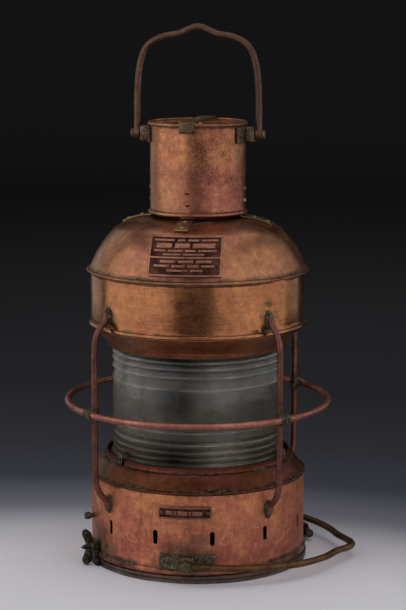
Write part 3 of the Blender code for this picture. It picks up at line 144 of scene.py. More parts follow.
def join(shapes):
    """Make one object of several, named as the first."""
    deselect()
    for shape in shapes:
        shape.select_set(True)
    bpy.context.view_layer.objects.active = shapes[0]
    if len(shapes) > 1:
        bpy.ops.object.join()
    return shapes[0]


def finish(thing, name, material, body, nodes=(), angle=35):
    """Name a piece, shade it, give it its material and let it ride on its body."""
    settle(thing)
    thing.name = thing.data.name = name
    thing.data.materials.clear()
    thing.data.materials.append(material)
    only(thing)
    bpy.ops.object.shade_smooth_by_angle(angle=math.radians(angle))
    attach(thing, body)
    if nodes:
        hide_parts(*nodes)
    return thing


def outward(azimuth, radius, height=0.0):
    """The point at a radius, an azimuth in degrees from the front towards +X, and a height."""
    angle = math.radians(azimuth)
    return Vector((radius * math.sin(angle), -radius * math.cos(angle), height))


def spun(profile, steps=STEPS, angle=360.0, start=0.0):
    """Draw a profile (radius, height) by extruding one vertex along it, then spin it round Z."""
    deselect()
    bpy.ops.mesh.primitive_plane_add(size=MM)
    thing = bpy.context.object
    turn = Matrix.Rotation(math.radians(start), 3, "Z")
    points = [turn @ Vector((0, -radius, height)) for radius, height in profile]
    bpy.ops.object.mode_set(mode="EDIT")
    bpy.ops.mesh.merge(type="CENTER")
    bpy.ops.transform.translate(value=points[0])
    for before, after in zip(points, points[1:]):
        bpy.ops.mesh.extrude_region_move(TRANSFORM_OT_translate={"value": after - before})
    bpy.ops.mesh.select_all(action="SELECT")
    bpy.ops.mesh.spin(steps=steps, angle=-math.radians(angle), center=(0, 0, 0), axis=(0, 0, 1))
    bpy.ops.object.mode_set(mode="OBJECT")
    return recalculate(thing)


def shell(profile, wall=SHEET, **options):
    """A turned sheet: the outer profile, then a wall inside it."""
    thing = spun(profile, **options)
    return modify(thing, "SOLIDIFY", thickness=wall, offset=-1, use_even_offset=True)


def along(thing, place, direction):
    """Turn a shape made round Z so that Z runs along direction, and move it to place."""
    turn = Vector(direction).normalized().to_track_quat("Z", "Y").to_matrix().to_4x4()
    thing.data.transform(Matrix.Translation(place) @ turn)
    return thing


def around(thing, azimuth):
    """Turn a shape made at the front round Z to its azimuth."""
    thing.data.transform(Matrix.Rotation(math.radians(azimuth), 4, "Z"))
    return thing


def curve_between(points, steps):
    """A smooth line through the points, steps to each stretch."""
    points = [Vector(point) for point in points]
    found = []
    for index in range(len(points) - 1):
        start, end = points[index], points[index + 1]
        before = points[max(index - 1, 0)]
        after = points[min(index + 2, len(points) - 1)]
        for step in range(steps):
            t = step / steps
            found.append(start + (end - before) * (t / 2)
                         + (before * 2 - start * 5 + end * 4 - after) * (t * t / 2)
                         + (start * 3 - before - end * 3 + after) * (t ** 3 / 2))
    return found + [points[-1]]


def bar(points, radius, closed=False, sides=5):
    """A round bar along points, made as a path with a bevel and turned into a mesh."""
    deselect()
    bpy.ops.curve.primitive_nurbs_path_add()
    path = bpy.context.object
    curve = path.data
    curve.splines.clear()
    spline = curve.splines.new("POLY")
    spline.points.add(len(points) - 1)
    for target, point in zip(spline.points, points):
        target.co = (*point, 1)
    spline.use_cyclic_u = closed
    curve.bevel_depth = radius
    curve.bevel_resolution = sides
    curve.use_fill_caps = True
    bpy.ops.object.convert(target="MESH")
    return recalculate(bpy.context.object)


def block(low, high, bevel=0.0006, segments=3):
    """A worked block between two corners, with rounded edges."""
    deselect()
    low, high = Vector(low), Vector(high)
    bpy.ops.mesh.primitive_cube_add(size=1, location=(low + high) / 2, scale=high - low)
    thing = settle(bpy.context.object)
    return modify(thing, "BEVEL", width=bevel, segments=segments)


def soften(thing, width, angle):
    """Round the edges that are sharper than the angle."""
    return modify(thing, "BEVEL", width=width, segments=2, limit_method="ANGLE",
                  angle_limit=math.radians(angle))


def drawn(bm, name):
    """The drawn points and faces as an object, selected alone."""
    mesh = bpy.data.meshes.new(name)
    bm.to_mesh(mesh)
    bm.free()
    thing = bpy.data.objects.new(name, mesh)
    bpy.context.scene.collection.objects.link(thing)
    return only(thing)


def cut_out(outline, thickness, bevel=0.0005):
    """A flat outline in X and Z, given its thickness along Y, with rounded edges."""
    bm = bmesh.new()
    bm.faces.new([bm.verts.new((x, -thickness / 2, z)) for x, z in outline])
    thing = drawn(bm, "outline")
    bpy.ops.object.mode_set(mode="EDIT")
    bpy.ops.mesh.select_all(action="SELECT")
    bpy.ops.mesh.extrude_region_move(TRANSFORM_OT_translate={"value": (0, thickness, 0)})
    bpy.ops.object.mode_set(mode="OBJECT")
    return soften(recalculate(thing), bevel, 30)


def close_ends(thing):
    """Fill the open ends of a shape that was swept part of the way round."""
    only(thing)
    bpy.ops.object.mode_set(mode="EDIT")
    bpy.ops.mesh.select_all(action="DESELECT")
    bpy.ops.mesh.select_non_manifold()
    bpy.ops.mesh.edge_face_add()
    bpy.ops.object.mode_set(mode="OBJECT")
    return recalculate(thing)


def drill(radius, depth, place, turn, facets):
    """A round cutter with its middle at place."""
    deselect()
    bpy.ops.mesh.primitive_cylinder_add(vertices=facets, radius=radius, depth=depth, location=place,
                                        rotation=turn)
    return settle(bpy.context.object)


def cut(thing, cutter):
    """Cut one shape out of another, and remove the cutter."""
    modify(thing, "BOOLEAN", operation="DIFFERENCE", object=cutter, solver="EXACT")
    bpy.data.objects.remove(cutter)
    return thing


def rivet(place, direction, radius=0.0032, height=0.0019):
    """A domed rivet head with a small collar of solder round it."""
    count = 7
    profile = [(radius * math.sin(math.pi / 2 * i / count), height * math.cos(math.pi / 2 * i / count))
               for i in range(count + 1)]
    profile += [(radius * 1.12, 0.0001), (radius * 1.12, -0.0006), (0, -0.0006)]
    return along(spun(profile, steps=20), place, direction)


def bead(radius, low, high, proud, count=10):
    """Points down a rolled bead that stands out of a wall."""
    return [(radius + proud * math.sin(math.pi * i / count),
             high + (low - high) * (1 - math.cos(math.pi * i / count)) / 2) for i in range(count + 1)]


def wall_outline(inner, outer, start, end):
    """The closed outline of a ring's wall, to be spun."""
    return [(inner, start), (outer, start), (outer, end), (inner, end), (inner, start)]


def rounded(points, radius, count=4):
    """The same line with its inner corners rounded."""
    points = [Vector(point) for point in points]
    found = [points[0]]
    for before, corner, after in zip(points, points[1:], points[2:]):
        back, ahead = before - corner, after - corner
        reach = min(radius, back.length * 0.45, ahead.length * 0.45)
        start, end = corner + back.normalized() * reach, corner + ahead.normalized() * reach
        for i in range(count + 1):
            t = i / count
            found.append(start * (1 - t) ** 2 + corner * 2 * t * (1 - t) + end * t ** 2)
    return [tuple(point) for point in found + [points[-1]]]


def dented(thing, strength, size, seed=0.0):
    """Push the surface in and out a little, as thin sheet that has been knocked."""
    texture = bpy.data.textures.new("dents", "CLOUDS")
    texture.noise_scale = size
    texture.noise_depth = 1
    modifier = thing.modifiers.new("Dents", "DISPLACE")
    modifier.texture = texture
    modifier.texture_coords = "LOCAL"
    modifier.mid_level = 0.5
    modifier.strength = strength
    thing.data.transform(Matrix.Translation((seed, 0, 0)))
    apply_all(thing)
    thing.data.transform(Matrix.Translation((-seed, 0, 0)))
    return thing


class Finish:
    """A material built up in layers, from the metal outwards."""

    def __init__(self, name, metallic=1.0):
        self.material = bpy.data.materials.new(name)
        self.material.use_nodes = True
        self.tree = self.material.node_tree
        self.shader = self.tree.nodes["Principled BSDF"]
        self.shader.inputs["Metallic"].default_value = metallic
        self.place = self.node("ShaderNodeTexCoord").outputs["Object"]
        self.heights = []

    def node(self, kind, **settings):
        found = self.tree.nodes.new(kind)
        for name, value in settings.items():
            setattr(found, name, value)
        return found

    def link(self, start, end):
        self.tree.links.new(start, end)

    def noise(self, scale, detail=4.0, roughness=0.55, stretch=(1, 1, 1), shift=0.0, distortion=0.0):
        mapping = self.node("ShaderNodeMapping")
        mapping.inputs["Scale"].default_value = stretch
        mapping.inputs["Location"].default_value = (shift, shift * 2, shift * 3)
        texture = self.node("ShaderNodeTexNoise")
        texture.inputs["Scale"].default_value = scale
        texture.inputs["Detail"].default_value = detail
        texture.inputs["Roughness"].default_value = roughness
        texture.inputs["Distortion"].default_value = distortion
        self.link(self.place, mapping.inputs["Vector"])
        self.link(mapping.outputs["Vector"], texture.inputs["Vector"])
        return texture.outputs["Fac"]

    def spread(self, value, low, high, out_low=0.0, out_high=1.0):
        """The value mapped from low..high to a mask, clamped."""
        node = self.node("ShaderNodeMapRange")
        settings = {"From Min": low, "From Max": high, "To Min": out_low, "To Max": out_high}
        for name, number in settings.items():
            node.inputs[name].default_value = number
        self.link(value, node.inputs["Value"])
        return node.outputs["Result"]

    def maths(self, operation, first, second):
        node = self.node("ShaderNodeMath", operation=operation)
        for socket, value in zip(node.inputs, (first, second)):
            if isinstance(value, (int, float)):
                socket.default_value = value
            else:
                self.link(value, socket)
        return node.outputs[0]

    def times(self, first, second):
        return self.maths("MULTIPLY", first, second)

    def plus(self, first, second):
        return self.maths("ADD", first, second)

    def less(self, first, second):
        return self.maths("SUBTRACT", first, second)

    def most(self, first, second):
        return self.maths("MAXIMUM", first, second)

    def apart(self, first, second):
        """How far the two values are apart."""
        return self.maths("ABSOLUTE", self.less(first, second), 0.0)

    def height(self):
        """The height of the point that is shaded."""
        node = self.node("ShaderNodeSeparateXYZ")
        self.link(self.place, node.inputs[0])
        return node.outputs["Z"]

    def blend(self, mask, under, over, mode="MIX"):
        node = self.node("ShaderNodeMix", data_type="RGBA", blend_type=mode)
        for socket, value in ((node.inputs[0], mask), (node.inputs[6], under), (node.inputs[7], over)):
            if isinstance(value, (int, float, tuple)):
                socket.default_value = value
            else:
                self.link(value, socket)
        return node.outputs[2]

    def nearness(self, place, radius):
        """1 at a place, falling to 0 at the radius round it."""
        node = self.node("ShaderNodeVectorMath", operation="DISTANCE")
        self.link(self.place, node.inputs[0])
        node.inputs[1].default_value = place
        return self.spread(node.outputs["Value"], 0.0, radius, 1.0, 0.0)

    def grime(self, bands, halos, seed):
        """Dirt along beads and round fittings, with an uneven edge, or None."""
        found = None
        ragged = self.noise(70.0, 4.0, 0.65, shift=seed + 7.1)
        broad = self.noise(13.0, 3.0, 0.6, shift=seed + 7.7)
        for height, half, weight in bands:
            away = self.apart(self.height(), height)
            band = self.spread(away, half, 0.0, 0.0, 1.0)
            band = self.times(band, self.spread(broad, 0.38, 0.62, 0.25 * weight, 1.35 * weight))
            found = band if found is None else self.most(found, band)
        for place, radius in halos:
            halo = self.nearness(place, radius)
            found = halo if found is None else self.most(found, halo)
        if found is None:
            return None
        found = self.plus(found, self.spread(ragged, 0.3, 0.7, -0.30, 0.30))
        return self.spread(found, 0.18, 0.95)

    def pitted(self, base, dots, dark):
        """A net of small dark pits between raised grains, that gathers near a place."""
        cells = self.node("ShaderNodeTexVoronoi", feature="F1")
        cells.inputs["Scale"].default_value = 620.0
        cells.inputs["Randomness"].default_value = 0.7
        self.link(self.place, cells.inputs["Vector"])
        marks = self.spread(cells.outputs["Distance"], 0.34, 0.60, 0.0, 1.0)
        broken = self.spread(self.noise(38.0, 3.0, 0.6), 0.36, 0.54)
        near = self.spread(self.nearness(*dots), 0.0, 0.5)
        marks = self.times(self.times(marks, broken), near)
        return self.blend(self.times(marks, 0.6), base, dark), marks

    def scratched(self, base, strength, bright, seed):
        """Fine bright scratches along the level lines of a broad noise."""
        for scale, shift, wide in ((7.0, 1.1, 0.006), (11.0, 5.3, 0.004)):
            level = self.noise(scale, 1.5, 0.4, shift=seed + shift, distortion=0.9)
            away = self.apart(level, 0.5)
            thin = self.spread(away, wide, 0.0, 0.0, 1.0)
            broken = self.spread(self.noise(18.0, 3.0, 0.6, shift=seed + shift * 2), 0.50, 0.62)
            base = self.blend(self.times(self.times(thin, broken), strength), base, bright)
        return base

    def bump(self, value, strength, distance=0.001):
        node = self.node("ShaderNodeBump")
        node.inputs["Strength"].default_value = strength
        node.inputs["Distance"].default_value = distance
        self.link(value, node.inputs["Height"])
        if self.heights:
            self.link(self.heights[-1], node.inputs["Normal"])
        self.heights.append(node.outputs["Normal"])

    def done(self, base, rough):
        self.link(base, self.shader.inputs["Base Color"])
        if isinstance(rough, (int, float)):
            self.shader.inputs["Roughness"].default_value = rough
        else:
            self.link(rough, self.shader.inputs["Roughness"])
        if self.heights:
            self.link(self.heights[-1], self.shader.inputs["Normal"])
        return self.material


def aged_metal(name, face, warm, tarnish, patina, rough=(0.36, 0.5), mottle=9.0, tarnish_share=0.5,
               patina_share=0.3, brush=0.0, pits=0.3, speckle=0.4, seed=0.0, fade=None, bands=(), halos=(),
               dots=None, lines=0.0, drips=0.0, crust=0.0, patches=()):
    """Old copper or brass: mottled face, brown tarnish, green patina in patches, pits and rubbing.

    fade: (low, high, colour) tints the metal below low and fades out by high, or the other way up.
    bands: (height, half width, weight) of grime by a bead. halos: (place, radius) of grime round a fitting.
    dots: (place, radius) of dark pitting. patches: (place, radius, colour) of a tone laid over a place.
    brush, lines, drips and crust are the strengths of level brush marks, bright scratches, dark runs
    down the wall, and pale grains of verdigris.
    """
    coat = Finish(name)
    broad = coat.noise(mottle, 3.0, 0.6, shift=seed + 0.3, distortion=0.4)
    base = coat.blend(coat.spread(broad, 0.40, 0.60), colour(*face), colour(*warm))
    cloudy = coat.noise(mottle * 3.1, 6.0, 0.68, shift=seed + 1.7, distortion=0.6)
    if fade:
        low = coat.plus(coat.height(), coat.spread(broad, 0.3, 0.7, -0.035, 0.035))
        base = coat.blend(coat.spread(low, fade[0], fade[1], 0.85, 0.0), base, colour(*fade[2]))
    for place, radius, tint in patches:
        near = coat.plus(coat.nearness(place, radius), coat.spread(broad, 0.3, 0.7, -0.2, 0.2))
        base = coat.blend(coat.spread(near, 0.1, 0.7, 0.0, 0.85), base, colour(*tint))
    limit = 0.72 - 0.34 * tarnish_share
    tarnished = coat.spread(cloudy, limit, limit + 0.2)
    base = coat.blend(coat.times(tarnished, 0.7), base, colour(*tarnish))
    clouds = coat.noise(mottle * 3.4, 6.0, 0.72, shift=seed + 9.7)
    base = coat.blend(coat.spread(clouds, 0.52, 0.70, 0.0, 0.5), base, colour(*tarnish))
    base = coat.blend(coat.spread(clouds, 0.48, 0.30, 0.0, 0.5), base, toned(face, 1.22, 1.20, 1.08))
    grain = coat.noise(mottle * 14, 5.0, 0.75, shift=seed + 5.2)
    base = coat.blend(coat.spread(grain, 0.5, 0.70, 0.0, 0.6), base, colour(*tarnish))
    base = coat.blend(coat.spread(grain, 0.46, 0.28, 0.0, 0.45), base, toned(face, 1.25))
    streaks = coat.noise(22.0, 3.0, 0.6, stretch=(1.0, 1.0, 26.0), shift=seed + 4.1)
    if drips:
        runs = coat.noise(60.0, 4.0, 0.65, stretch=(1.0, 1.0, 0.10), shift=seed + 11.3)
        runs = coat.times(coat.spread(runs, 0.52, 0.68), coat.spread(cloudy, 0.40, 0.56))
        base = coat.blend(coat.times(runs, drips), base, colour(*tarnish))
    if brush:
        base = coat.blend(coat.spread(streaks, 0.42, 0.62, 0.0, 0.35 * brush), base, toned(face, 1.15))
        base = coat.blend(coat.spread(streaks, 0.5, 0.34, 0.0, 0.4 * brush), base, colour(*tarnish))
    spots = coat.noise(210.0, 3.0, 0.7, shift=seed + 2.9)
    spotted = coat.times(coat.spread(spots, 0.60, 0.68), coat.spread(cloudy, 0.42, 0.62))
    dark = toned(tarnish, 0.42)
    base = coat.blend(coat.times(spotted, speckle), base, dark)
    if dots:
        base, marks = coat.pitted(base, dots, dark)
    if lines:
        base = coat.scratched(base, lines, toned(face, 1.35), seed)
    green = coat.noise(mottle * 4.3, 5.0, 0.72, shift=seed + 6.3, distortion=0.8)
    limit = 0.78 - 0.40 * patina_share
    mask = coat.spread(green, limit, limit + 0.13)
    grime = coat.grime(bands, halos, seed)
    if grime:
        flakes = coat.noise(190.0, 5.0, 0.74, shift=seed + 9.3)
        base = coat.blend(coat.times(grime, 0.85), base, colour(56, 44, 33))
        base = coat.blend(coat.times(grime, coat.spread(flakes, 0.50, 0.58, 0.0, 0.75)), base,
                          colour(122, 116, 98))
        mask = coat.most(mask, coat.times(grime, coat.spread(green, 0.50, 0.66, 0.0, 0.6)))
        coat.bump(coat.times(grime, flakes), 0.5, 0.0012)
    base = coat.blend(coat.times(mask, 0.8), base, colour(*patina))
    if crust:
        grains = coat.noise(320.0, 3.0, 0.7, shift=seed + 12.1)
        base = coat.blend(coat.spread(grains, 0.53, 0.62, 0.0, crust), base, toned(patina, 1.22))
        base = coat.blend(coat.spread(grains, 0.47, 0.38, 0.0, crust), base, dark)
        coat.bump(grains, 0.6, 0.0008)
    fine = coat.noise(60.0, 5.0, 0.6, shift=seed + 8.0)
    gloss = coat.spread(fine, 0.3, 0.7, rough[0], rough[1])
    gloss = coat.plus(gloss, coat.times(mask, 0.28))
    gloss = coat.plus(gloss, coat.times(spotted, 0.15))
    if grime:
        gloss = coat.plus(gloss, coat.times(grime, 0.2))
    coat.bump(coat.noise(26.0, 2.0, 0.5, shift=seed + 3.3), 0.35, 0.0012)
    if brush:
        coat.bump(streaks, 0.16 * brush, 0.0006)
    coat.bump(grain, 0.12, 0.0005)
    coat.bump(spots, pits, 0.0006)
    if dots:
        coat.bump(marks, -0.8, 0.0005)
    metal = coat.spread(mask, 0.0, 1.0, 1.0, 0.25)
    coat.link(metal, coat.shader.inputs["Metallic"])
    return coat.done(base, gloss)


def lens_glass():
    """Greenish pressed glass with dust: dark lines of grime and painted shade along its steps, pale lines of
    painted highlight beside them, painted reflections in pale patches and painted shade in dark patches on
    its front.
    """
    coat = Finish("lens_glass", metallic=0.0)
    coat.shader.inputs["IOR"].default_value = 1.48
    dust = coat.noise(9.0, 6.0, 0.7, stretch=(1, 1, 3.5), distortion=0.6)
    film = coat.noise(46.0, 5.0, 0.7, stretch=(1, 1, 5.0), shift=2.0)
    base = coat.blend(coat.spread(dust, 0.40, 0.70), colour(160, 158, 142), colour(122, 112, 90))
    base = coat.blend(coat.spread(coat.height(), 0.145, 0.215, 0.5, 0.0), base, colour(150, 122, 84))
    away = coat.apart(coat.height(), LENS_MIDDLE)
    step_dirt_and_shade, pale = None, None
    # Along each step a dark line: grime and painted shade in the step's crease
    for step in (0.0252, 0.0407, 0.0512, 0.0597, 0.0672, 0.0722):
        line = coat.spread(coat.apart(away, step), 0.0015, 0.0005)
        step_dirt_and_shade = line if step_dirt_and_shade is None else coat.most(step_dirt_and_shade, line)
        # Beside it a pale line: a painted highlight along the step's edge, with dust
        line = coat.spread(coat.apart(away, step + 0.0026), 0.0012, 0.0004)
        pale = line if pale is None else coat.most(pale, line)
    pale = coat.times(pale, coat.spread(film, 0.34, 0.58, 0.3, 1.0))
    step_dirt_and_shade = coat.times(step_dirt_and_shade, coat.spread(film, 0.30, 0.55, 0.45, 1.0))
    base = coat.blend(coat.times(step_dirt_and_shade, 0.9), base, colour(40, 36, 28))
    base = coat.blend(coat.times(pale, 0.9), base, colour(206, 200, 180))
    # Pale patches on the front, at the left and the right: painted reflections, which also make the glass
    # less clear there
    painted_reflection = coat.nearness(outward(-40, 0.11, 0.225), 0.085)
    for azimuth, level, reach in ((30, 0.228, 0.055), (30, 0.158, 0.045)):
        painted_reflection = coat.most(painted_reflection, coat.nearness(outward(azimuth, 0.11, level), reach))
    painted_reflection = coat.times(painted_reflection, coat.spread(film, 0.32, 0.62, 0.55, 1.0))
    base = coat.blend(coat.times(painted_reflection, 0.7), base, colour(188, 182, 172))
    # Dark patches down the middle of the front, at three heights: painted shade where the glass looks dark
    painted_shade = coat.nearness(outward(-3, 0.11, 0.275), 0.045)
    for level, reach in ((0.228, 0.034), (0.150, 0.045)):
        painted_shade = coat.most(painted_shade, coat.nearness(outward(-3, 0.11, level), reach))
    base = coat.blend(painted_shade, base, colour(44, 41, 36))
    clear = coat.plus(coat.spread(dust, 0.35, 0.70, 0.93, 0.82), coat.spread(film, 0.5, 0.75, 0.0, -0.10))
    clear = coat.less(clear, coat.times(painted_reflection, 0.22))
    clear = coat.less(clear, coat.times(step_dirt_and_shade, 0.6))
    clear = coat.less(clear, coat.times(pale, 0.22))
    coat.link(clear, coat.shader.inputs["Transmission Weight"])
    rough = coat.spread(coat.noise(14.0, 6.0, 0.7, stretch=(1, 1, 0.6)), 0.38, 0.66, 0.14, 0.42)
    rough = coat.plus(rough, coat.times(step_dirt_and_shade, 0.3))
    coat.bump(coat.noise(9.0, 2.0, 0.5, stretch=(1, 1, 2.5)), 0.12, 0.0015)
    return coat.done(base, rough)


def woven(name, face, shade, pitch):
    """Packing or wick: a plain weave over a dull thread colour."""
    coat = Finish(name, metallic=0.0)
    wave = coat.node("ShaderNodeTexWave", wave_type="BANDS", bands_direction="Z")
    wave.inputs["Scale"].default_value = pitch
    wave.inputs["Distortion"].default_value = 1.5
    coat.link(coat.place, wave.inputs["Vector"])
    cross = coat.node("ShaderNodeTexWave", wave_type="BANDS", bands_direction="DIAGONAL")
    cross.inputs["Scale"].default_value = pitch * 0.8
    coat.link(coat.place, cross.inputs["Vector"])
    threads = coat.times(wave.outputs["Fac"], cross.outputs["Fac"])
    base = coat.blend(threads, colour(*shade), colour(*face))
    coat.bump(threads, 0.6, 0.0005)
    return coat.done(base, 0.9)


def plate_ground():
    """The plates' ground: dark brown lacquer between rubbed copper bars."""
    coat = Finish("plate_ground")
    grain = coat.noise(70.0, 5.0, 0.7)
    base = coat.blend(coat.spread(grain, 0.40, 0.62), colour(50, 32, 30), colour(104, 68, 58))
    coat.bump(grain, 0.5, 0.0008)
    return coat.done(base, coat.spread(grain, 0.3, 0.7, 0.45, 0.7))


def at_guards(radius, height, reach):
    """The same halo of grime at each of the four guard rods."""
    return [(outward(azimuth, radius, height), reach) for azimuth in GUARD_AZIMUTHS.values()]


# Its one patch makes the chimney's lower left lighter
copper = aged_metal(
    "aged_copper", (184, 130, 88), (164, 104, 80), (106, 66, 52), (116, 108, 84), rough=(0.30, 0.42),
    mottle=11.0, tarnish_share=0.46, patina_share=0.06, brush=0.15, pits=0.3, speckle=0.7, seed=1.1,
    fade=(0.490, 0.535, (152, 90, 80)), patches=((outward(-32, 0.061, 0.468), 0.055, (168, 118, 84)),),
    dots=(outward(48, 0.061, 0.528), 0.080),
    bands=((0.4558, 0.0022, 0.8), (0.5618, 0.0025, 0.9), (0.5665, 0.0045, 0.45)),
    halos=((outward(90, 0.062, TOP_PIVOT), 0.026), (outward(-90, 0.062, TOP_PIVOT), 0.026)))
base_copper = aged_metal(
    "base_copper", (216, 144, 98), (200, 122, 98), (134, 74, 60), (124, 112, 92), rough=(0.4, 0.55),
    tarnish_share=0.42, patina_share=0.10, brush=0.12, pits=0.25, speckle=0.6, seed=2.3, drips=0.55,
    fade=(0.040, 0.085, (168, 98, 88)), lines=0.35, bands=((0.1108, 0.003, 0.7), (0.0165, 0.0075, 1.25)),
    halos=at_guards(0.140, 0.088, 0.020) + [
        (outward(LATCH_AZIMUTH, 0.1395, 0.026), 0.050),
        (outward(-44, 0.1400, 0.024), 0.030),
        (outward(LOWER_BAIL_AZIMUTH, 0.140, 0.026), 0.052),
        (outward(LOWER_BAIL_AZIMUTH + 180, 0.140, 0.026), 0.044),
        (outward(HINGE_AZIMUTH, 0.140, 0.032), 0.034)])
hood_copper = aged_metal(
    "hood_copper", (168, 115, 77), (152, 97, 69), (108, 66, 50), (120, 104, 76), rough=(0.17, 0.28),
    mottle=7.0, tarnish_share=0.34, patina_share=0.04, brush=0.4, pits=0.15, speckle=0.5, seed=3.7,
    drips=0.3, bands=((0.3133, 0.003, 0.9), (0.3752, 0.0025, 0.9)),
    halos=at_guards(0.139, 0.327, 0.020) + [(outward(52, 0.140, 0.349), 0.0085)])
dome_copper = aged_metal(
    "dome_copper", (174, 122, 85), (152, 98, 82), (110, 70, 56), (118, 102, 76), rough=(0.27, 0.38),
    mottle=7.0, tarnish_share=0.36, patina_share=0.05, brush=0.15, pits=0.2, speckle=0.6, seed=9.9,
    lines=0.15, drips=0.35, bands=((0.3812, 0.0045, 0.9), (0.4448, 0.004, 0.9)))
red_copper = aged_metal(
    "red_copper", (98, 62, 40), (88, 50, 40), (54, 33, 27), (84, 76, 60), rough=(0.36, 0.52),
    tarnish_share=0.5, patina_share=0.12, brush=0.3, lines=0.9, seed=4.9,
    fade=(0.148, 0.128, (116, 62, 58)), bands=((0.1165, 0.004, 1.0), (0.1345, 0.003, 0.8)))
gallery_copper = aged_metal(
    "gallery_copper", (150, 98, 62), (136, 78, 54), (84, 48, 36), (104, 96, 76), rough=(0.34, 0.46),
    tarnish_share=0.45, patina_share=0.10, brush=0.3, lines=0.4, seed=10.9, bands=((0.3095, 0.003, 0.8),))
rod_copper = aged_metal(
    "rod_copper", (134, 90, 80), (116, 74, 68), (60, 43, 41), (92, 92, 80), rough=(0.42, 0.56),
    mottle=16.0, tarnish_share=0.6, patina_share=0.2, seed=5.3,
    halos=at_guards(0.164, 0.207, 0.018))
ring_copper = aged_metal(
    "ring_copper", (176, 120, 102), (156, 98, 86), (88, 58, 52), (96, 94, 78), rough=(0.4, 0.55),
    mottle=16.0, tarnish_share=0.5, patina_share=0.14, seed=5.7,
    halos=at_guards(0.172, 0.207, 0.014))
bail_copper = aged_metal(
    "bail_copper", (106, 80, 66), (92, 68, 60), (58, 44, 42), (92, 88, 80), rough=(0.42, 0.58),
    mottle=16.0, tarnish_share=0.5, patina_share=0.2, seed=5.9)
dark_bronze = aged_metal(
    "dark_bronze", (98, 84, 76), (84, 72, 68), (50, 44, 42), (100, 106, 102), rough=(0.42, 0.6),
    mottle=14.0, tarnish_share=0.6, patina_share=0.5, seed=6.1)
old_brass = aged_metal(
    "old_brass", (112, 96, 70), (96, 80, 60), (60, 50, 40), (92, 92, 78), rough=(0.38, 0.54),
    mottle=18.0, tarnish_share=0.5, patina_share=0.3, seed=7.7)
leg_brass = aged_metal(
    "leg_brass", (140, 120, 82), (120, 100, 72), (88, 70, 50), (120, 120, 100), rough=(0.32, 0.46),
    mottle=30.0, tarnish_share=0.4, patina_share=0.3, seed=7.9)
font_brass = aged_metal(
    "font_brass", (168, 136, 84), (146, 112, 70), (92, 70, 48), (98, 98, 74), rough=(0.34, 0.5),
    mottle=16.0, tarnish_share=0.4, patina_share=0.08, seed=7.4)
bail_brass = aged_metal(
    "bail_brass", (112, 83, 56), (92, 67, 47), (50, 39, 31), (84, 82, 70), rough=(0.38, 0.54),
    mottle=14.0, tarnish_share=0.55, patina_share=0.2, seed=7.1,
    halos=((outward(LOWER_BAIL_AZIMUTH, 0.157, 0.027), 0.036),
           (outward(LOWER_BAIL_AZIMUTH + 180, 0.157, 0.027), 0.05)))
green_brass = aged_metal(
    "green_brass", (96, 86, 68), (76, 66, 54), (40, 35, 30), (122, 120, 100), rough=(0.44, 0.6),
    mottle=44.0, tarnish_share=0.62, patina_share=0.58, pits=1.0, seed=8.2, crust=0.45)
lug_bronze = aged_metal(
    "lug_bronze", (112, 88, 72), (94, 74, 62), (56, 46, 40), (108, 104, 92), rough=(0.44, 0.6),
    mottle=26.0, tarnish_share=0.55, patina_share=0.36, pits=0.7, seed=8.9, crust=0.5)
latch_metal = aged_metal(
    "latch_metal", (74, 62, 48), (60, 50, 40), (32, 28, 24), (100, 104, 90), rough=(0.46, 0.62),
    mottle=26.0, tarnish_share=0.6, patina_share=0.4, pits=0.7, seed=8.6, crust=0.7)
ground = plate_ground()
plate_copper = aged_metal(
    "plate_copper", (164, 118, 96), (142, 96, 80), (92, 60, 50), (104, 92, 74), rough=(0.3, 0.46),
    mottle=80.0, tarnish_share=0.55, patina_share=0.12, pits=0.5, seed=9.4)
glass = lens_glass()
packing = woven("gasket_packing", (76, 62, 52), (34, 28, 24), 220.0)
cotton = woven("wick_cotton", (214, 204, 182), (150, 138, 116), 260.0)


def curve_points(points, steps=3):
    """A closed outline in X and Z, smoothed."""
    line = curve_between([(x, 0, z) for x, z in points], steps)
    return [(point.x, point.z) for point in line]


def mm(*points):
    """Points given in millimetres, in metres."""
    return [tuple(value * MM for value in point) for point in points]


def dress(thing, node, material, body=BODY, angle=35):
    """The finished form of one CAD node."""
    return finish(thing, f"{node}_form", material, body, (node,), angle)


def arc(radius, level, start, end, step=20):
    """Points on a circle round (0, level), from one angle to another."""
    angles = [math.radians(angle) for angle in range(start, end + (1 if step > 0 else -1), step)]
    return [(radius * math.cos(angle), level + radius * math.sin(angle)) for angle in angles]


def split_line(points, longest=0.006):
    """The same line with no stretch longer than given, so that the sheet can be dented."""
    points = [Vector(point) for point in points]
    found = [points[0]]
    for before, after in zip(points, points[1:]):
        count = max(1, math.ceil((after - before).length / longest))
        found += [before.lerp(after, i / count) for i in range(1, count + 1)]
    return [tuple(point) for point in found]


# The tray: a rolled rim with a spigot for the drum, round a flat floor
rim = mm((136.3, 14), (136.3, 9.6), (139.8, 9.1), (141.9, 8.8), (142.9, 7.9), (143.2, 6.7), (142.9, 5.4),
         (142.2, 4.5), (141.9, 3.2), (142.2, 1.9), (142.8, 1.1), (142.5, 0.3), (141.6, 0))
tray = dented(shell(rim, 0.0016), 0.0016, 0.045, 0.3)
# The dents don't reach under the floor that the tray stands on
for vertex in tray.data.vertices:
    vertex.co.z = max(vertex.co.z, 0)
dress(tray, "base_tray", dark_bronze, TRAY)
floor_plate = spun(rounded(mm((0, 2), (140, 2), (140, 0.02), (0, 0.02)), 0.0004), steps=96)
dress(floor_plate, "tray_floor", dark_bronze, TRAY)

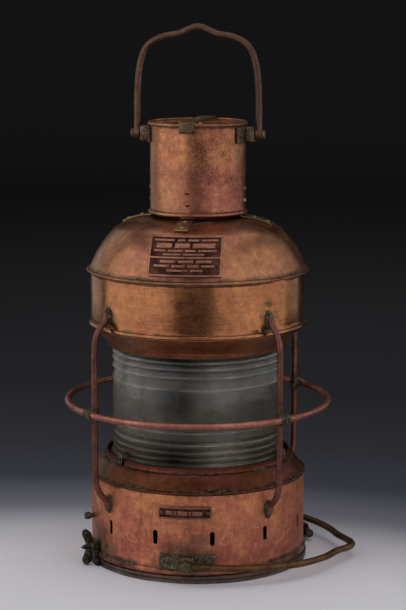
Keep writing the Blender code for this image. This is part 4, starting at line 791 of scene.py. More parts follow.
# The base drum: foot bead, wall and twelve air slots
line = mm((139, 111.6)) + split_line(mm((139, 111.4), (139, 17.2))) + bead(DRUM_RADIUS, 0.0093, 0.017, 0.0027)
drum = dented(shell(line, steps=192), 0.0013, 0.05, 0.1)
cutters = []
for index in range(12):
    outline = arc(3.0, 6.2, 0, 180) + arc(3.0, -6.2, 200, 360)
    slot_cutter = cut_out(mm(*outline), 0.02, 0.00001)
    slot_cutter.data.transform(Matrix.Translation((0, -DRUM_RADIUS, 0.0567)))
    cutters.append(around(slot_cutter, -10 + 30 * index))
cut(drum, join(cutters))
dress(drum, "base_drum", base_copper)

# The shoulder cone and the wall of the lens seat
line = mm((117.1, 141), (117.3, 141.5), (118.4, 141.9), (119.3, 141.5), (119.2, 140.6), (119.1, 136.2),
    (119.6, 134.9), (121, 134.4), (123.4, 133.9), (124.6, 133.2), (137.1, 117), (138.2, 116.1))
line = split_line(line) + bead(DRUM_RADIUS, 0.1119, 0.1159, 0.0019, 8)
line += mm((137.2, 111.8), (137.2, 108.4), (135.7, 108.4), (135.7, 115.6), (123.5, 131.8), (122, 132.7),
           (104, 133), (104, 134.5), (117.1, 134.5), (117.1, 141))
shoulder = dented(spun(line), 0.0011, 0.04, 0.7)
dress(shoulder, "base_shoulder", red_copper)

for node, low, high in (("lower_gasket", 134.8, 139.3), ("upper_gasket", 283.9, 286.4)):
    line = mm((112.8, high), (112.8, low), (104.3, low), (104.3, high), (112.8, high))
    dress(spun(rounded(line, 0.0012), steps=120), node, packing)

# The drum lens: a convex belt in the middle, and stepped prisms above and below it
half = 0.072
shares = (0.347, 0.5625, 0.708, 0.826, 0.93)
upper = [(0.1107 - 0.0008 * (step / 10) ** 2, shares[0] * step / 10) for step in range(11)]
for start, end in zip(shares, shares[1:] + (1.0,)):
    upper += [(0.1101, start + 0.001), (0.1108, start + 0.005)]
    upper += [(0.1108 - 0.0036 * (step / 6) ** 1.3, start + 0.010 + (end - start - 0.010) * step / 6)
              for step in range(7)]
upper[-7:] = [(0.1108, shares[-1] + 0.012), (0.1107, 0.985), (0.1103, 1.0)]
outer = [(radius, LENS_MIDDLE + share * half) for radius, share in upper[::-1]]
outer += [(radius, LENS_MIDDLE - share * half) for radius, share in upper[1:]]
line = outer + mm((100.6, 139.6), (100.2, 140.2), (100.2, 283), (100.6, 283.6)) + [outer[0]]
lens = spun(line, steps=192)
dress(lens, "fresnel_lens", glass, angle=12)

# The gallery cone that holds the lens from above
line = split_line(mm((137.3, 318), (137.3, 307), (136.2, 305.6), (118.6, 287.4), (117.4, 286),
    (117.1, 284.6), (117.1, 281.6)))
line += mm((116.9, 281), (116, 280.9), (115.5, 281.5), (115.5, 286.4), (104, 286.7), (104, 288.2),
    (116, 288.2), (134.8, 306.4), (135.8, 308), (135.8, 318), (137.3, 318))
dress(dented(spun(line), 0.0009, 0.04, 0.2), "gallery_cone", gallery_copper)

# The hood drum and the dome on it
line = split_line(mm((138.3, 375.7), (138.3, 313.2))) + bead(HOOD_RADIUS, 0.3062, 0.313, 0.0026)
dress(dented(shell(line, steps=192), 0.0010, 0.06, 0.5), "hood_drum", hood_copper)
crown = curve_between(mm((64, 445), (76, 443.5), (88, 440), (102, 433.6), (110, 427), (120.5, 415),
    (130, 400.5), (136.5, 386.5), (139.6, 380.6)), 5)
line = mm((40.3, 445.1)) + [tuple(point) for point in crown] + bead(0.1394, 0.376, 0.3803, 0.0042)
line += mm((137, 375.8), (137, 368), (135.4, 368), (135.4, 379.6))
line += [(point[0] - 0.0012, point[1] - 0.0010) for point in crown[::-1]] + mm((40.3, 443.6), (40.3, 445.1))
dress(dented(spun(line, steps=192), 0.0009, 0.05, 0.9), "hood_dome", dome_copper)

# Flue and chimney
line = mm((40, 520), (40, 447.2), (40.6, 446.4), (46.6, 446.4), (47, 445.9), (46.6, 445.2), (40.3, 445.1),
    (40, 400), (38.6, 400), (38.6, 520), (40, 520))
dress(spun(line, steps=96), "flue_pipe", copper)
line = bead(CHIMNEY_RADIUS, 0.5624, 0.5676, 0.0028) + split_line(mm((61, 562.2), (61, 455.3)))
line += bead(CHIMNEY_RADIUS, 0.4499, 0.4551, 0.0028)
chimney = [dented(shell(line, steps=128), 0.0009, 0.035, 0.4)]
for azimuth in (0, 90, 180, 270):
    for height in (467, 482):
        chimney.append(rivet(outward(azimuth, 0.0609, height * MM), outward(azimuth, 1), 0.0036, 0.0026))
seam = bar([outward(155, 0.0612, z * MM) for z in (455.5, 508, 562)], 0.0007, sides=2)
dress(join(chimney + [seam]), "chimney_shell", copper)

line = mm((0, 567.4), (4.6, 567.3), (5.8, 566.2), (6, 564.5), (6.1, 560.4), (7.2, 559.4))
line += mm(*[(r, 559.3 - 1.1 * math.sin((r - 7) / 47 * math.pi)) for r in range(10, 52, 4)])
line += mm((52.6, 559.4), (53.7, 559), (53.7, 557.8), (52.8, 557.6), (0, 557.2))
dress(spun(line, steps=96), "chimney_lid", copper)


def strap(line, width, thickness, bevel=0.0004):
    """A bent strap: a line (reach, height) widened along X, thickened to its left, edges rounded."""
    bm = bmesh.new()
    rows = []
    for reach, height in line:
        rows.append([bm.verts.new((x * width / 2, -reach, height)) for x in (-1, -0.4, 0.4, 1)])
    for before, after in zip(rows, rows[1:]):
        for i in range(3):
            bm.faces.new((before[i], before[i + 1], after[i + 1], after[i]))
    thing = drawn(bm, "strap")
    modify(thing, "SOLIDIFY", thickness=thickness, offset=0, use_even_offset=True)
    recalculate(thing, 0.000001)
    return soften(thing, bevel, 40)


def dome_at(radius):
    """The height of the dome's outer line at a radius."""
    for (r_in, high), (r_out, low) in zip(crown, crown[1:]):
        if r_in <= radius <= r_out:
            return high + (low - high) * (radius - r_in) / (r_out - r_in)
    return 0.445


# Four legs: up inside the chimney wall, and out over the dome with rivets in their feet
for side, azimuth in (("front", 0), ("right", 90), ("back", 180), ("left", 270)):
    line = [(0.0577, 0.4915), (0.0577, 0.470), (0.0577, 0.4515), (0.0582, 0.4485), (0.0600, 0.4469),
        (0.0640, 0.4464)]
    line += [(r * MM, dome_at(r * MM) + 0.0015) for r in range(68, 98, 3)]
    line.append((0.0975, dome_at(0.0975) + 0.0013))
    leg = [strap(line, 0.018, 0.0021)]
    for radius in (0.0732, 0.0908):
        leg.append(rivet((0, -radius, dome_at(radius) + 0.0023), (0, -0.25, 1)))
    dress(around(join(leg), azimuth), f"chimney_leg_{side}", leg_brass)

line = [(-63.9, 555.2), (-64.6, 560), (-64.8, 567.2), (-63.6, 569), (-60, 569.2), (-30, 569.0), (0, 569.3),
    (30, 569.0), (60, 569.2), (63.6, 569), (64.8, 567.2), (64.6, 560), (63.9, 555.2)]
lid_strap = [strap(mm(*line), 0.020, 0.0019)]
lid_strap.append(rivet((0, 0, 0.5701), (0, 0, 1), 0.0046, 0.0021))
for x in (-5, 5):
    lid_strap.append(rivet((x * MM, -0.0656, 0.5582), (0, -1, 0), 0.0020, 0.0012))
dress(join(lid_strap), "lid_strap", old_brass)


def lug(node, radius, azimuth, pivot, height, spread, plate, width, proud, metal):
    """A hat-shaped lug: a curved plate with rounded ends and a raised middle, bored for its pin."""
    inner = radius + 0.0006
    low, high = pivot - height / 2, pivot + height / 2
    line = rounded(wall_outline(inner, inner + plate, low, high), 0.0006, 3)
    wing = close_ends(spun(line, steps=28, angle=2 * spread, start=-spread))
    face = radius + proud
    raised = block((-width / 2, -face, low + 0.0004),
                   (width / 2, -inner - plate * 0.4, high - 0.0004), 0.0022, 4)
    cut(raised, drill(0.0034, 0.05, (0, -face, pivot), FRONT_TO_BACK, 32))
    shapes = [wing, raised]
    for side in (-1, 1):
        turned = side * spread * 0.72
        shapes.append(rivet(outward(turned, inner + plate, pivot), outward(turned, 1)))
    return dress(around(dented(join(shapes), 0.0005, 0.012, azimuth / 90), azimuth), node, metal)


def pin(node, radius, azimuth, pivot, plate, proud):
    """A headed pin through a bail's eye."""
    start, head = radius + 0.0009 + plate, radius + proud + 0.010
    line = [(0, head + 0.0031), (0.0036, head + 0.0030), (0.0054, head + 0.0024), (0.0062, head + 0.0011),
            (0.0061, head + 0.0001), (0.003, head), (0.003, start + 0.0005), (0.0026, start), (0, start)]
    thing = along(spun(line, steps=32), (0, 0, pivot), (0, -1, 0))
    return dress(around(thing, azimuth), node, old_brass)


for side, azimuth in (("right", 90), ("left", -90)):
    lug(f"top_lug_{side}", CHIMNEY_RADIUS, azimuth, TOP_PIVOT, height=0.0205, spread=26.0, plate=0.002,
        width=0.016, proud=0.0135, metal=lug_bronze)
    pin(f"top_pin_{side}", CHIMNEY_RADIUS, azimuth, TOP_PIVOT, plate=0.002, proud=0.0135)
for side, azimuth in (("front", LOWER_BAIL_AZIMUTH), ("back", LOWER_BAIL_AZIMUTH + 180)):
    lug(f"lower_lug_{side}", DRUM_RADIUS, azimuth, LOWER_PIVOT, height=0.0195, spread=14.4, plate=0.0025,
        width=0.018, proud=0.0125, metal=green_brass)
    pin(f"lower_pin_{side}", DRUM_RADIUS, azimuth, LOWER_PIVOT, plate=0.0025, proud=0.0125)


def eye(centre, axis, thickness=0.0088, radius=0.0069):
    """A flattened eye at the end of a bail, with its bore and worn edges."""
    half = thickness / 2
    line = rounded(wall_outline(0.0034, radius, half, -half), 0.0014, 4)
    return along(spun(line, steps=40), centre, axis)


# The top bail, humped in the middle, and the lower one, folded to the right
line = mm((79.5, 0, 4.5), (79.3, 0, 20), (78.9, 0, 52.5), (76.9, 0, 78), (74.3, 0, 92), (69.4, 0, 105.4),
    (62.6, 0, 113.7), (53.2, 0, 119.6), (40.3, 0, 123.7), (27.4, 0, 125.6), (18.3, 0, 128.8),
    (8.1, 0, 133.4), (0, 0, 135))
line += [(-x, y, z) for x, y, z in line[-2::-1]]
hoop = [bar(curve_between(line, 6), 0.00425)]
hoop += [eye((x * MM, 0, 0), (1, 0, 0)) for x in (79.5, -79.5)]
hoop = dented(join(hoop), 0.0006, 0.02, 0.6)
hoop.data.transform(Matrix.Translation((0, 0, TOP_PIVOT)))
dress(hoop, "top_bail", bail_copper, "top_bail")

BAIL_DROOP = 3.3
line = []
for index in range(61):
    angle = 0.024 + (math.pi - 0.048) * index / 60
    reach, side = 0.1885 * math.sin(angle), -0.1565 * math.cos(angle)
    reach += 0.015 * (1 + math.cos(math.pi * min(abs(side) / 0.045, 1))) / 2
    line.append((reach, side, 0))
hoop = [bar(line, 0.0044)] + [eye((0, y * MM, 0), (0, 1, 0)) for y in (156.5, -156.5)]
hoop = dented(join(hoop), 0.0007, 0.025, 0.2)
hoop.data.transform(Matrix.Translation((0, 0, LOWER_PIVOT))
                    @ Matrix.Rotation(math.radians(LOWER_BAIL_AZIMUTH), 4, "Z")
                    @ Matrix.Rotation(math.radians(BAIL_DROOP), 4, "Y"))
dress(hoop, "lower_bail", bail_brass, "lower_bail")


def pad(seat, height, wide=0.0062, tall=0.0122, thick=0.0034):
    """The flattened end of a guard rod, as an oval pad."""
    line = [(0, thick), (0.55, thick * 0.97), (0.8, thick * 0.8), (0.95, thick * 0.45)]
    line += [(1, 0.0002), (0.97, 0), (0, 0)]
    plate = spun(line, steps=40)
    plate.data.transform(Matrix.Diagonal((wide, tall, 1, 1)))
    return along(plate, (0, -seat, height), (0, -1, 0))


# The wire guard: four uprights with riveted pads, one ring and four bindings
# A rod's bend from its pad to the upright, as shares of the way out and down
BENDS = ((0.06, -0.02), (0.22, 0.08), (0.5, 0.22), (0.82, 0.50), (0.96, 0.80), (1.0, 1.15))
for number, (side, azimuth) in enumerate(GUARD_AZIMUTHS.items()):
    points = []
    for seat, height, way in ((0.1386, 0.3282, -1), (0.1393, 0.0866, 1)):
        close = seat + 0.0032
        away = GUARD_REACH - close
        ends = [(0, -close + 0.001, height - way * 0.005)]
        ends += [(0, -close - away * out, height + way * (0.005 + 0.036 * down)) for out, down in BENDS]
        points.append(ends)
    upright = [(0, -0.1601, z) for z in (0.255, RING_LEVEL, 0.160)]
    line = curve_between(points[0] + upright + points[1][::-1], 5)
    rod = dented(bar(line, 0.004), 0.0007, 0.03, number * 0.4)
    dress(around(rod, azimuth), f"guard_rod_{side}", rod_copper)
    pads = []
    for seat, height, way in ((0.1384, 0.3282, 1), (0.1391, 0.0866, -1)):
        pads.append(pad(seat, height))
        pads.append(rivet((0, -seat - 0.0034, height + way * 0.0052), (0, -1, 0), 0.0034, 0.0022))
        pads.append(rivet((0, -seat - 0.0034, height - way * 0.0035), (0, -1, 0), 0.0030, 0.0016))
    pads = dented(join(pads), 0.0008, 0.006, number * 0.7)
    finish(around(pads, azimuth), f"guard_pads_{side}", green_brass, BODY)

line = [outward(360 * i / 144, 0.16865, RING_LEVEL) for i in range(144)]
dress(dented(bar(line, 0.0042, closed=True), 0.0009, 0.06, 0.8), "guard_ring", ring_copper)

# Each binding is a sleeve of wire turns on the upright, and another on the ring
WIRE_TURNS, WIRE_LENGTH = 7, 0.0136
for number, (side, azimuth) in enumerate(GUARD_AZIMUTHS.items()):
    sleeve = []
    for radius, reach, axis in ((0.0052, GUARD_REACH, (0, 0, 1)), (0.0054, 0.1685, (1, 0, 0))):
        line = [(radius * 0.83, -0.0069)]
        for turn in range(WIRE_TURNS):
            start = -WIRE_LENGTH / 2 + WIRE_LENGTH * turn / WIRE_TURNS
            for share in (0.25, 0.5, 0.75, 1.0):
                line.append((radius + 0.0008 * math.sin(math.pi * share),
                             start + WIRE_LENGTH / WIRE_TURNS * share))
        line += [(radius * 0.83, 0.0069)]
        sleeve.append(along(spun(line, steps=28), (0, -reach, RING_LEVEL), axis))
    sleeve = dented(join(sleeve), 0.0009, 0.006, number)
    dress(around(sleeve, azimuth), f"ring_binding_{side}", green_brass)

# Three clamps hook over the lens foot
for side, azimuth in (("left", -42), ("right", 78), ("back", 198)):
    line = rounded([(0.1212, 0.1350), (0.1211, 0.1484), (0.1114, 0.1487)], 0.0026, 5)
    clamp = [strap(line, 0.009, 0.002)]
    clamp.append(rivet((0, -0.1222, 0.1435), (0, -1, 0), 0.0022, 0.0014))
    dress(around(join(clamp), azimuth), f"lens_clamp_{side}", green_brass)


def plate_line(low_share, high_share, count, lift):
    """The dome's line between two shares of its rise, top to bottom, lifted off it."""
    points = []
    for i in range(count + 1):
        height = DOME_FOOT + DOME_RISE * (high_share + (low_share - high_share) * i / count)
        radius = 0.14
        for (r_in, high), (r_out, low) in zip(crown, crown[1:]):
            if low <= height <= high:
                radius = r_in + (r_out - r_in) * (high - height) / max(high - low, 0.0001)
        points.append(Vector((radius, height)))
    lifted = []
    for i, point in enumerate(points):
        way = (points[min(i + 1, count)] - points[max(i - 1, 0)]).normalized()
        lifted.append(tuple(point + Vector((-way.y, way.x)) * lift))
    return lifted


def panel(low_line, high_line, azimuth, spread, steps=24):
    """A curved panel between two lines, swept round the axis, with closed ends and soft edges."""
    line = list(high_line) + list(low_line)[::-1]
    thing = close_ends(spun(line + [line[0]], steps=steps, angle=2 * spread, start=azimuth - spread))
    return soften(thing, 0.00035, 50)


def squared(thing):
    """Give the dome plate the same width all the way up, as a flat sheet laid on the dome has."""
    foot = plate_line(DOME_PLATE_LOW, DOME_PLATE_HIGH, 1, 0)[-1][0]
    for vertex in thing.data.vertices:
        reach = math.hypot(vertex.co.x, vertex.co.y)
        angle = math.atan2(vertex.co.x, -vertex.co.y) - math.radians(DOME_PLATE_AZIMUTH)
        angle = math.radians(DOME_PLATE_AZIMUTH) + angle * foot / reach
        vertex.co.x, vertex.co.y = reach * math.sin(angle), -reach * math.cos(angle)
    return thing


# The framed plate on the dome: a dark ground, and a border, a rule and bare bars rubbed bright
ground_panel = panel(plate_line(DOME_PLATE_LOW, DOME_PLATE_HIGH, 16, 0.0006),
    plate_line(DOME_PLATE_LOW, DOME_PLATE_HIGH, 16, 0.0018), DOME_PLATE_AZIMUTH, DOME_PLATE_SPREAD)
dress(squared(ground_panel), "dome_plate", ground)
# Strips by (low, high, start, end): heights as shares of the dome's rise, ends as shares of the spread
strips = [(DOME_PLATE_HIGH - 0.036, DOME_PLATE_HIGH, -1, 1),
          (DOME_PLATE_LOW, DOME_PLATE_LOW + 0.036, -1, 1),
          (0.405, 0.435, -0.96, 0.96),
          (DOME_PLATE_LOW, DOME_PLATE_HIGH, -1, -0.95),
          (DOME_PLATE_LOW, DOME_PLATE_HIGH, 0.95, 1)]
for low, high, ends in ((0.700, 0.735, (-0.88, -0.30, -0.22, -0.02, 0.06, 0.34, 0.42, 0.86)),
                        (0.585, 0.665, (-0.80, -0.36, -0.28, 0.12, 0.20, 0.80)),
                        (0.520, 0.555, (-0.86, -0.52, -0.46, -0.05, 0.01, 0.28, 0.34, 0.84)),
                        (0.460, 0.490, (-0.60, -0.10, -0.04, 0.52)),
                        (0.330, 0.375, (-0.66, -0.24, -0.16, 0.24, 0.32, 0.72)),
                        (0.255, 0.295, (-0.84, -0.40, -0.32, 0.02, 0.10, 0.40, 0.46, 0.82)),
                        (0.180, 0.215, (-0.46, 0.10, 0.18, 0.50))):
    strips += [(low, high, start, end) for start, end in zip(ends[::2], ends[1::2])]
raised = []
for low, high, start, end in strips:
    rows = 16 if high - low > 0.1 else 2
    under, over = plate_line(low, high, rows, 0.0014), plate_line(low, high, rows, 0.0027)
    centre = DOME_PLATE_AZIMUTH + DOME_PLATE_SPREAD * (start + end) / 2
    spread = DOME_PLATE_SPREAD * (end - start) / 2
    raised.append(panel(under, over, centre, spread, 24 if end - start > 1 else 4))
finish(squared(join(raised)), "dome_plate_bars", plate_copper, BODY)

# The small framed plate on the base, with plain bars and its two screws
top, bottom = 0.09800, 0.08200
plate = panel([(0.1396, top), (0.1396, bottom)], [(0.1408, top), (0.1408, bottom)],
              BASE_PLATE_AZIMUTH, BASE_PLATE_SPREAD)
dress(plate, "base_plate", ground)
strips = [(top - 0.0022, top, -1, 1), (bottom, bottom + 0.0022, -1, 1),
          (bottom, top, -1, -0.94), (bottom, top, 0.94, 1)]
for start, end in ((-0.70, -0.44), (-0.40, -0.30), (-0.26, 0.10), (0.15, 0.24), (0.28, 0.66)):
    strips.append((0.0876, 0.0926, start, end))
edges = []
for low, high, start, end in strips:
    centre = BASE_PLATE_AZIMUTH + BASE_PLATE_SPREAD * (start + end) / 2
    spread = BASE_PLATE_SPREAD * (end - start) / 2
    edges.append(panel([(0.1405, high), (0.1405, low)], [(0.1416, high), (0.1416, low)], centre, spread,
                       24 if spread > 5 else 2))
finish(join(edges), "base_plate_border", plate_copper, BODY)
for side, way in (("left", -1), ("right", 1)):
    line = [(0, 0.0013), (0.0014, 0.00125), (0.0022, 0.0010), (0.0026, 0.0005), (0.0026, 0), (0, 0)]
    head = along(spun(line, steps=32), (0, -0.1411, 0.090), (0, -1, 0))
    groove = block((-0.004, -0.146, 0.08965), (0.004, -0.1417, 0.09035), 0.00002, 1)
    groove.data.transform(Matrix.Translation((0, 0, 0.09)) @ Matrix.Rotation(math.radians(25 * way), 4, "Y")
                          @ Matrix.Translation((0, 0, -0.09)))
    head = cut(head, groove)
    dress(around(head, BASE_PLATE_AZIMUTH + 12 * way), f"base_plate_screw_{side}", old_brass)

# The latch: slotted tongue on the tray, threaded stud on the drum, wing nut and keeper stud
back, face = 0.1441, 0.1466
outline = [(-8, 0.4), (8, 0.4), (8, 30), (7, 32.6), (4.8, 33.9), (3.75, 34), (3.7, 24)]
outline += arc(3.75, 24, -20, -160, -20)
outline += [(-3.7, 24), (-3.75, 34), (-4.8, 33.9), (-7, 32.6), (-8, 30)]
tongue = cut_out(mm(*outline), face - back, 0.0004)
tongue.data.transform(Matrix.Translation((0, -(back + face) / 2, 0)))
foot = block((-0.012, -face, 0.0004), (0.012, -0.1430, 0.0087), 0.0008)
knuckle = join([tongue, foot, rivet((-0.0095, -face, 0.0045), (0, -1, 0), 0.0016, 0.0009),
                rivet((0.0095, -face, 0.0045), (0, -1, 0), 0.0016, 0.0009)])
dress(around(dented(knuckle, 0.0005, 0.012, 0.3), LATCH_AZIMUTH), "tray_tongue", latch_metal, TRAY)

line = [(0.0001, 0.1638), (0.0010, 0.1636), (0.0018, 0.1610)]
for turn in range(17):
    start = 0.1606 - 0.0008 * turn
    line += [(0.0027, start), (0.0030, start - 0.0002), (0.0030, start - 0.0004), (0.0027, start - 0.0006)]
line += [(0.0030, 0.1440), (0.0030, 0.1436), (0.0052, 0.1434), (0.0058, 0.1429), (0.0058, 0.1400),
    (0.0055, 0.1394), (0, 0.1394)]
stud = along(spun(line, steps=28), (0, 0, LATCH_LEVEL), (0, -1, 0))
dress(around(stud, LATCH_AZIMUTH), "latch_stud", latch_metal)

line = [(0.0033, 0), (0.0066, 0), (0.0071, 0.0006), (0.0070, 0.0016), (0.0060, 0.0030), (0.0055, 0.0060),
    (0.0052, 0.0079), (0.0046, 0.0085), (0.0033, 0.0085), (0.0033, 0)]
nut = [along(spun(line, steps=40), (0, 0, 0), (0, -1, 0))]
for way in (-1, 1):
    side = [(2.2, 4), (1.0, 7), (0.8, 10), (1.2, 14.5), (2.8, 19), (6.2, 22.2), (9.8, 22.8), (12.4, 21.2),
            (13.2, 17.5), (12.6, 14), (11.2, 11), (10.0, 8), (8.8, 5), (7.6, 3.4)]
    wing = cut_out(mm(*curve_points(side)), 0.0066, 0.0022)
    wing.data.transform(Matrix.Rotation(math.radians(-90), 4, "Z"))
    if way < 0:
        wing.data.transform(Matrix.Rotation(math.pi, 4, "Y"))
    nut.append(wing)
nut = around(join(nut), LATCH_AZIMUTH)
nut.data.transform(Matrix.Translation(outward(LATCH_AZIMUTH, 0.1482, LATCH_LEVEL)))
dress(nut, "wing_nut", latch_metal, "wing_nut")

line = [(0, 0.1520), (0.0030, 0.1519), (0.0044, 0.1512), (0.00475, 0.1500), (0.00475, 0.1450),
    (0.0043, 0.1444), (0.0030, 0.1441), (0.0030, 0.1402), (0.0036, 0.1394), (0, 0.1393)]
dress(around(along(spun(line, steps=32), (0, 0, 0.059), (0, -1, 0)), -62.5), "keeper_stud", green_brass)


def knuckle_tube(start, end, bore=0.0023, radius=0.0057):
    """One knuckle of the hinge, from start to end along its pin."""
    line = rounded(wall_outline(bore, radius, start, end), 0.0005, 2)
    return along(spun(line, steps=32), HINGE_PIN, (1, 0, 0))


# The hinge at the right rear
leaf = [block((-0.0182, -0.1453, 0.0004), (0.0182, -0.1428, 0.0087), 0.0006)]
for start, end in ((-0.0183, -0.0063), (0.0063, 0.0183)):
    leaf.append(knuckle_tube(start, end))
    leaf.append(block((start + 0.0002, -0.1520, 0.0048), (end - 0.0002, -0.1440, 0.0080), 0.0006))
dress(around(dented(join(leaf), 0.0003, 0.012, 0.3), HINGE_AZIMUTH), "tray_hinge_leaf", dark_bronze, TRAY)
bracket = [block((-0.015, -0.1418, 0.0190), (0.015, -0.1394, 0.0446), 0.0009), knuckle_tube(-0.006, 0.006)]
arm = rounded([(0.1405, 0.0205), (0.1592, 0.0205), (0.1610, 0.0130)], 0.005, 6)
bracket.append(strap(arm, 0.0112, 0.0024))
for x in (-7.5, 7.5):
    for z in (28, 39):
        bracket.append(rivet((x * MM, -0.1417, z * MM), (0, -1, 0), 0.0028, 0.0017))
dress(around(dented(join(bracket), 0.0003, 0.012, 0.8), HINGE_AZIMUTH), "hinge_bracket", old_brass)
line = [(0, 0.0206), (0.0022, 0.0205), (0.0031, 0.0198), (0.0032, 0.0188), (0.0020, 0.0186),
    (0.0020, -0.0181), (0.0015, -0.0185), (0, -0.0186)]
dress(around(along(spun(line, steps=24), HINGE_PIN, (1, 0, 0)), HINGE_AZIMUTH), "hinge_pin", old_brass, TRAY)

# The oil font in its seat ring, with the filler cap
line = mm((13.5, 76.3), (30.2, 76.3), (34, 75.4), (68, 63.9), (71.2, 62.4), (72, 60.6), (72, 4.4),
    (71.2, 2.6), (69.8, 2.3), (0, 2.3))
font = shell(line, steps=128)
filler = outward(50, 0.045)
collar = spun(mm((6.5, 80.9), (7, 81.2), (8.6, 81.2), (9, 80.8), (9, 72.4), (10.4, 71.4), (10.4, 70.6),
    (6.5, 70.2), (6.5, 80.9)), steps=40)
collar.data.transform(Matrix.Translation(filler))
hole = spun(mm((0, 84), (6.5, 84), (6.5, 60), (0, 60)), steps=40)
hole.data.transform(Matrix.Translation(filler))
font = join([cut(font, hole), collar])
dress(font, "oil_font", font_brass, TRAY)
line = rounded(mm((74.3, 12.3), (74.3, 2.3), (72.3, 2.3), (72.3, 12.3), (74.3, 12.3)), 0.0006)
dress(spun(line, steps=96), "font_seat", font_brass, TRAY)
line = mm((0, 3.3), (8.6, 3.2), (10, 2.7), (11.4, 2.0), (11.5, -4.6), (11.2, -5), (9.3, -5), (9.3, 0.3),
    (0, 0.3))
cap = spun(line, steps=48)
grips = []
for index in range(16):
    grip = block((-0.0009, -0.0121, -0.0044), (0.0009, -0.0112, 0.0018), 0.0004, 2)
    grips.append(around(grip, index * 22.5))
cap = join([cap] + grips)
cap.data.transform(Matrix.Translation((0.034472, -0.028925, 0.081352)))
dress(cap, "filler_cap", font_brass, "filler_cap")

# The burner, its wick tube, wick, and the wick's knob
seat = 0.0766
line = [(11.9, 52), (13.4, 52), (16.4, 49), (19, 44), (20, 40), (20, 22), (19, 19.4), (16.9, 16.4),
    (16.5, 15), (16.5, 2.2), (17.4, 1.5), (22, 1.5), (22, 0), (15, 0), (15, 15.8), (18.5, 21), (18.5, 40.2),
    (17, 45), (14.6, 49), (11.9, 50.5), (11.9, 52)]
burner = spun([(r * MM, seat + z * MM) for r, z in line], steps=80)
holes = []
for index in range(6):
    azimuth = 60 * (index + 0.5) + 90
    turn = outward(azimuth, 1).to_track_quat("Z", "Y").to_euler()
    holes.append(drill(0.0016, 0.016, outward(azimuth, 0.018, seat + 0.0094), turn, 20))
holes.append(drill(0.0021, 0.016, (0.0068, 0.02, seat + 0.026), FRONT_TO_BACK, 20))
dress(cut(burner, join(holes)), "burner_body", font_brass, TRAY)
tube = block((-0.0031, -0.0106, 0.0836), (0.0031, 0.0106, 0.1686), 0.0006, 3)
tube = cut(tube, block((-0.0019, -0.0094, 0.080), (0.0019, 0.0094, 0.172), 0.0004, 2))
tube = cut(tube, block((0.0010, -0.0033, 0.0970), (0.0075, 0.0033, 0.1082), 0.0002, 1))
dress(tube, "wick_tube", font_brass, TRAY)
wick = block((-0.0015, -0.009, 0.0386), (0.0015, 0.009, 0.1711), 0.0005, 2)
dress(dented(wick, 0.0003, 0.005, 0.2), "wick", cotton, "wick")
line = [(0, -0.003), (0.0047, -0.003), (0.005, -0.0024), (0.005, 0.0024), (0.0047, 0.003), (0.0018, 0.003),
    (0.0018, 0.0315), (0.0055, 0.032), (0.0084, 0.0322), (0.009, 0.0328), (0.009, 0.0364), (0.0084, 0.0370),
    (0.0030, 0.0366), (0, 0.0366)]
knob = [along(spun(line, steps=48), (0, 0, 0), (0, 1, 0))]
for index in range(20):
    rib = block((-0.0005, 0.0326, 0.0086), (0.0005, 0.0366, 0.0093), 0.0002, 1)
    rib.data.transform(Matrix.Rotation(math.radians(18 * index), 4, "Y"))
    knob.append(rib)
knob = join(knob)
knob.data.transform(Matrix.Translation((0.0068, 0, 0.1026)))
dress(knob, "wick_knob", font_brass, "wick_knob")

# Floor, backdrop, lights and camera
ROOM_RADIUS, ROOM_HEIGHT, ROOM_CURVE, FLOOR = 6.0, 8.0, 1.4, -0.0002
line = [(ROOM_RADIUS, ROOM_HEIGHT)]
for index in range(33):
    angle = math.pi / 2 * (1 - index / 32)
    line.append((ROOM_RADIUS - ROOM_CURVE + ROOM_CURVE * math.sin(angle),
        FLOOR + ROOM_CURVE * (1 - math.cos(angle))))
backdrop = spun(line + [(0, FLOOR)], steps=128)
backdrop.name = backdrop.data.name = "backdrop"
only(backdrop)
bpy.ops.object.shade_smooth()
coat = Finish("paper", metallic=0.0)
away = coat.node("ShaderNodeVectorMath", operation="DISTANCE")
wide = coat.node("ShaderNodeMapping")
wide.inputs["Scale"].default_value = (0.6, 1, 1)
coat.link(coat.place, wide.inputs["Vector"])
coat.link(wide.outputs["Vector"], away.inputs[0])
away.inputs[1].default_value = (0, -0.15, 0)
ramp = coat.node("ShaderNodeValToRGB")
coat.link(coat.spread(away.outputs["Value"], 0.0, ROOM_RADIUS), ramp.inputs["Fac"])
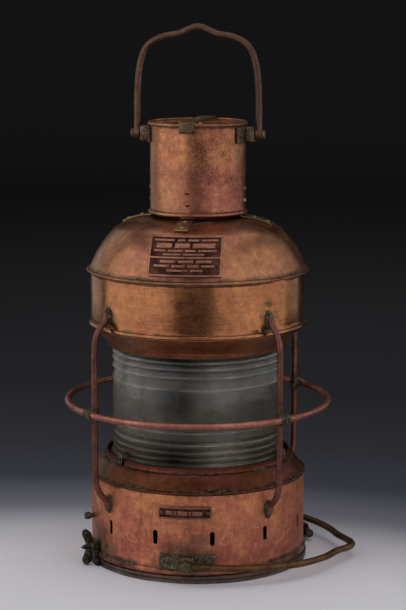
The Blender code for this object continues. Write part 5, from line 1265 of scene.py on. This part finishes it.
# The paper's tone by the distance from the lantern's foot is painted light: a pale pool of light round the
# foot that darkens outwards, and lighter again on the far floor and wall
light_pool_tones = ((0.17, (228, 228, 232)), (0.26, (200, 200, 205)), (0.36, (116, 117, 126)), (0.52, (58, 61, 70)),
         (0.78, (41, 43, 50)), (1.2, (32, 33, 37)), (2.6, (62, 62, 65)), (5.2, (90, 90, 93)))
while len(ramp.color_ramp.elements) < len(light_pool_tones):
    ramp.color_ramp.elements.new(0.5)
for element, (distance, tone) in zip(ramp.color_ramp.elements, light_pool_tones):
    element.position = distance / ROOM_RADIUS
    element.color = colour(*tone)
coat.done(ramp.outputs["Color"], 0.95)
backdrop.data.materials.append(coat.material)
backdrop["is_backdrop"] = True


def lamp(place, target, size, power, tint=(255, 255, 255)):
    """A soft rectangular lamp, width and height in size, that faces the target and isn't seen itself."""
    light = bpy.data.lights.new("softbox", "AREA")
    light.shape = "RECTANGLE"
    light.size, light.size_y = size
    light.energy = power
    light.color = colour(*tint)[:3]
    thing = bpy.data.objects.new("softbox", light)
    bpy.context.scene.collection.objects.link(thing)
    thing.location = place
    thing.rotation_euler = (Vector(target) - Vector(place)).to_track_quat("-Z", "Y").to_euler()
    thing.visible_camera = False


STUDIO_WHITE = (252, 250, 255)
lamp(outward(-55, 1.15, 0.92), (0, 0, 0.92), (2.07, 1.8), 13.0, STUDIO_WHITE)
lamp(outward(72, 1.15, 0.92), (0, 0, 0.92), (2.07, 1.8), 10.8, STUDIO_WHITE)
lamp((0.0, 0.15, 2.2), (0, 0.15, 0), (2.4, 2.7), 18.0, STUDIO_WHITE)
for azimuth in (-122, 128):
    lamp(outward(azimuth, 1.5, 0.8), (0, 0, 0.6), (0.9, 1.5), 2.0)
lamp(outward(8, 2.7, 0.9), (0, 0, 0.5), (2.3, 2.6), 9.0, STUDIO_WHITE)
world = bpy.data.worlds.new("room")
world.use_nodes = True
background = world.node_tree.nodes["Background"]
background.inputs["Color"].default_value = colour(190, 192, 196)
background.inputs["Strength"].default_value = 0.02
bpy.context.scene.world = world
bpy.context.scene.view_settings.view_transform = "Standard"

# The camera, fitted to the photograph's rims and beads
camera_data = bpy.data.cameras.new("camera")
camera_data.sensor_width = 36
camera_data.lens = 110.94
camera_data.shift_x = 0.0085
camera = bpy.data.objects.new("camera", camera_data)
camera.location = (0.5197, -2.3440, 0.7278)
camera.rotation_euler = (math.radians(80.58), 0, math.radians(12.5))
bpy.context.scene.collection.objects.link(camera)
bpy.context.scene.camera = camera

low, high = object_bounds()
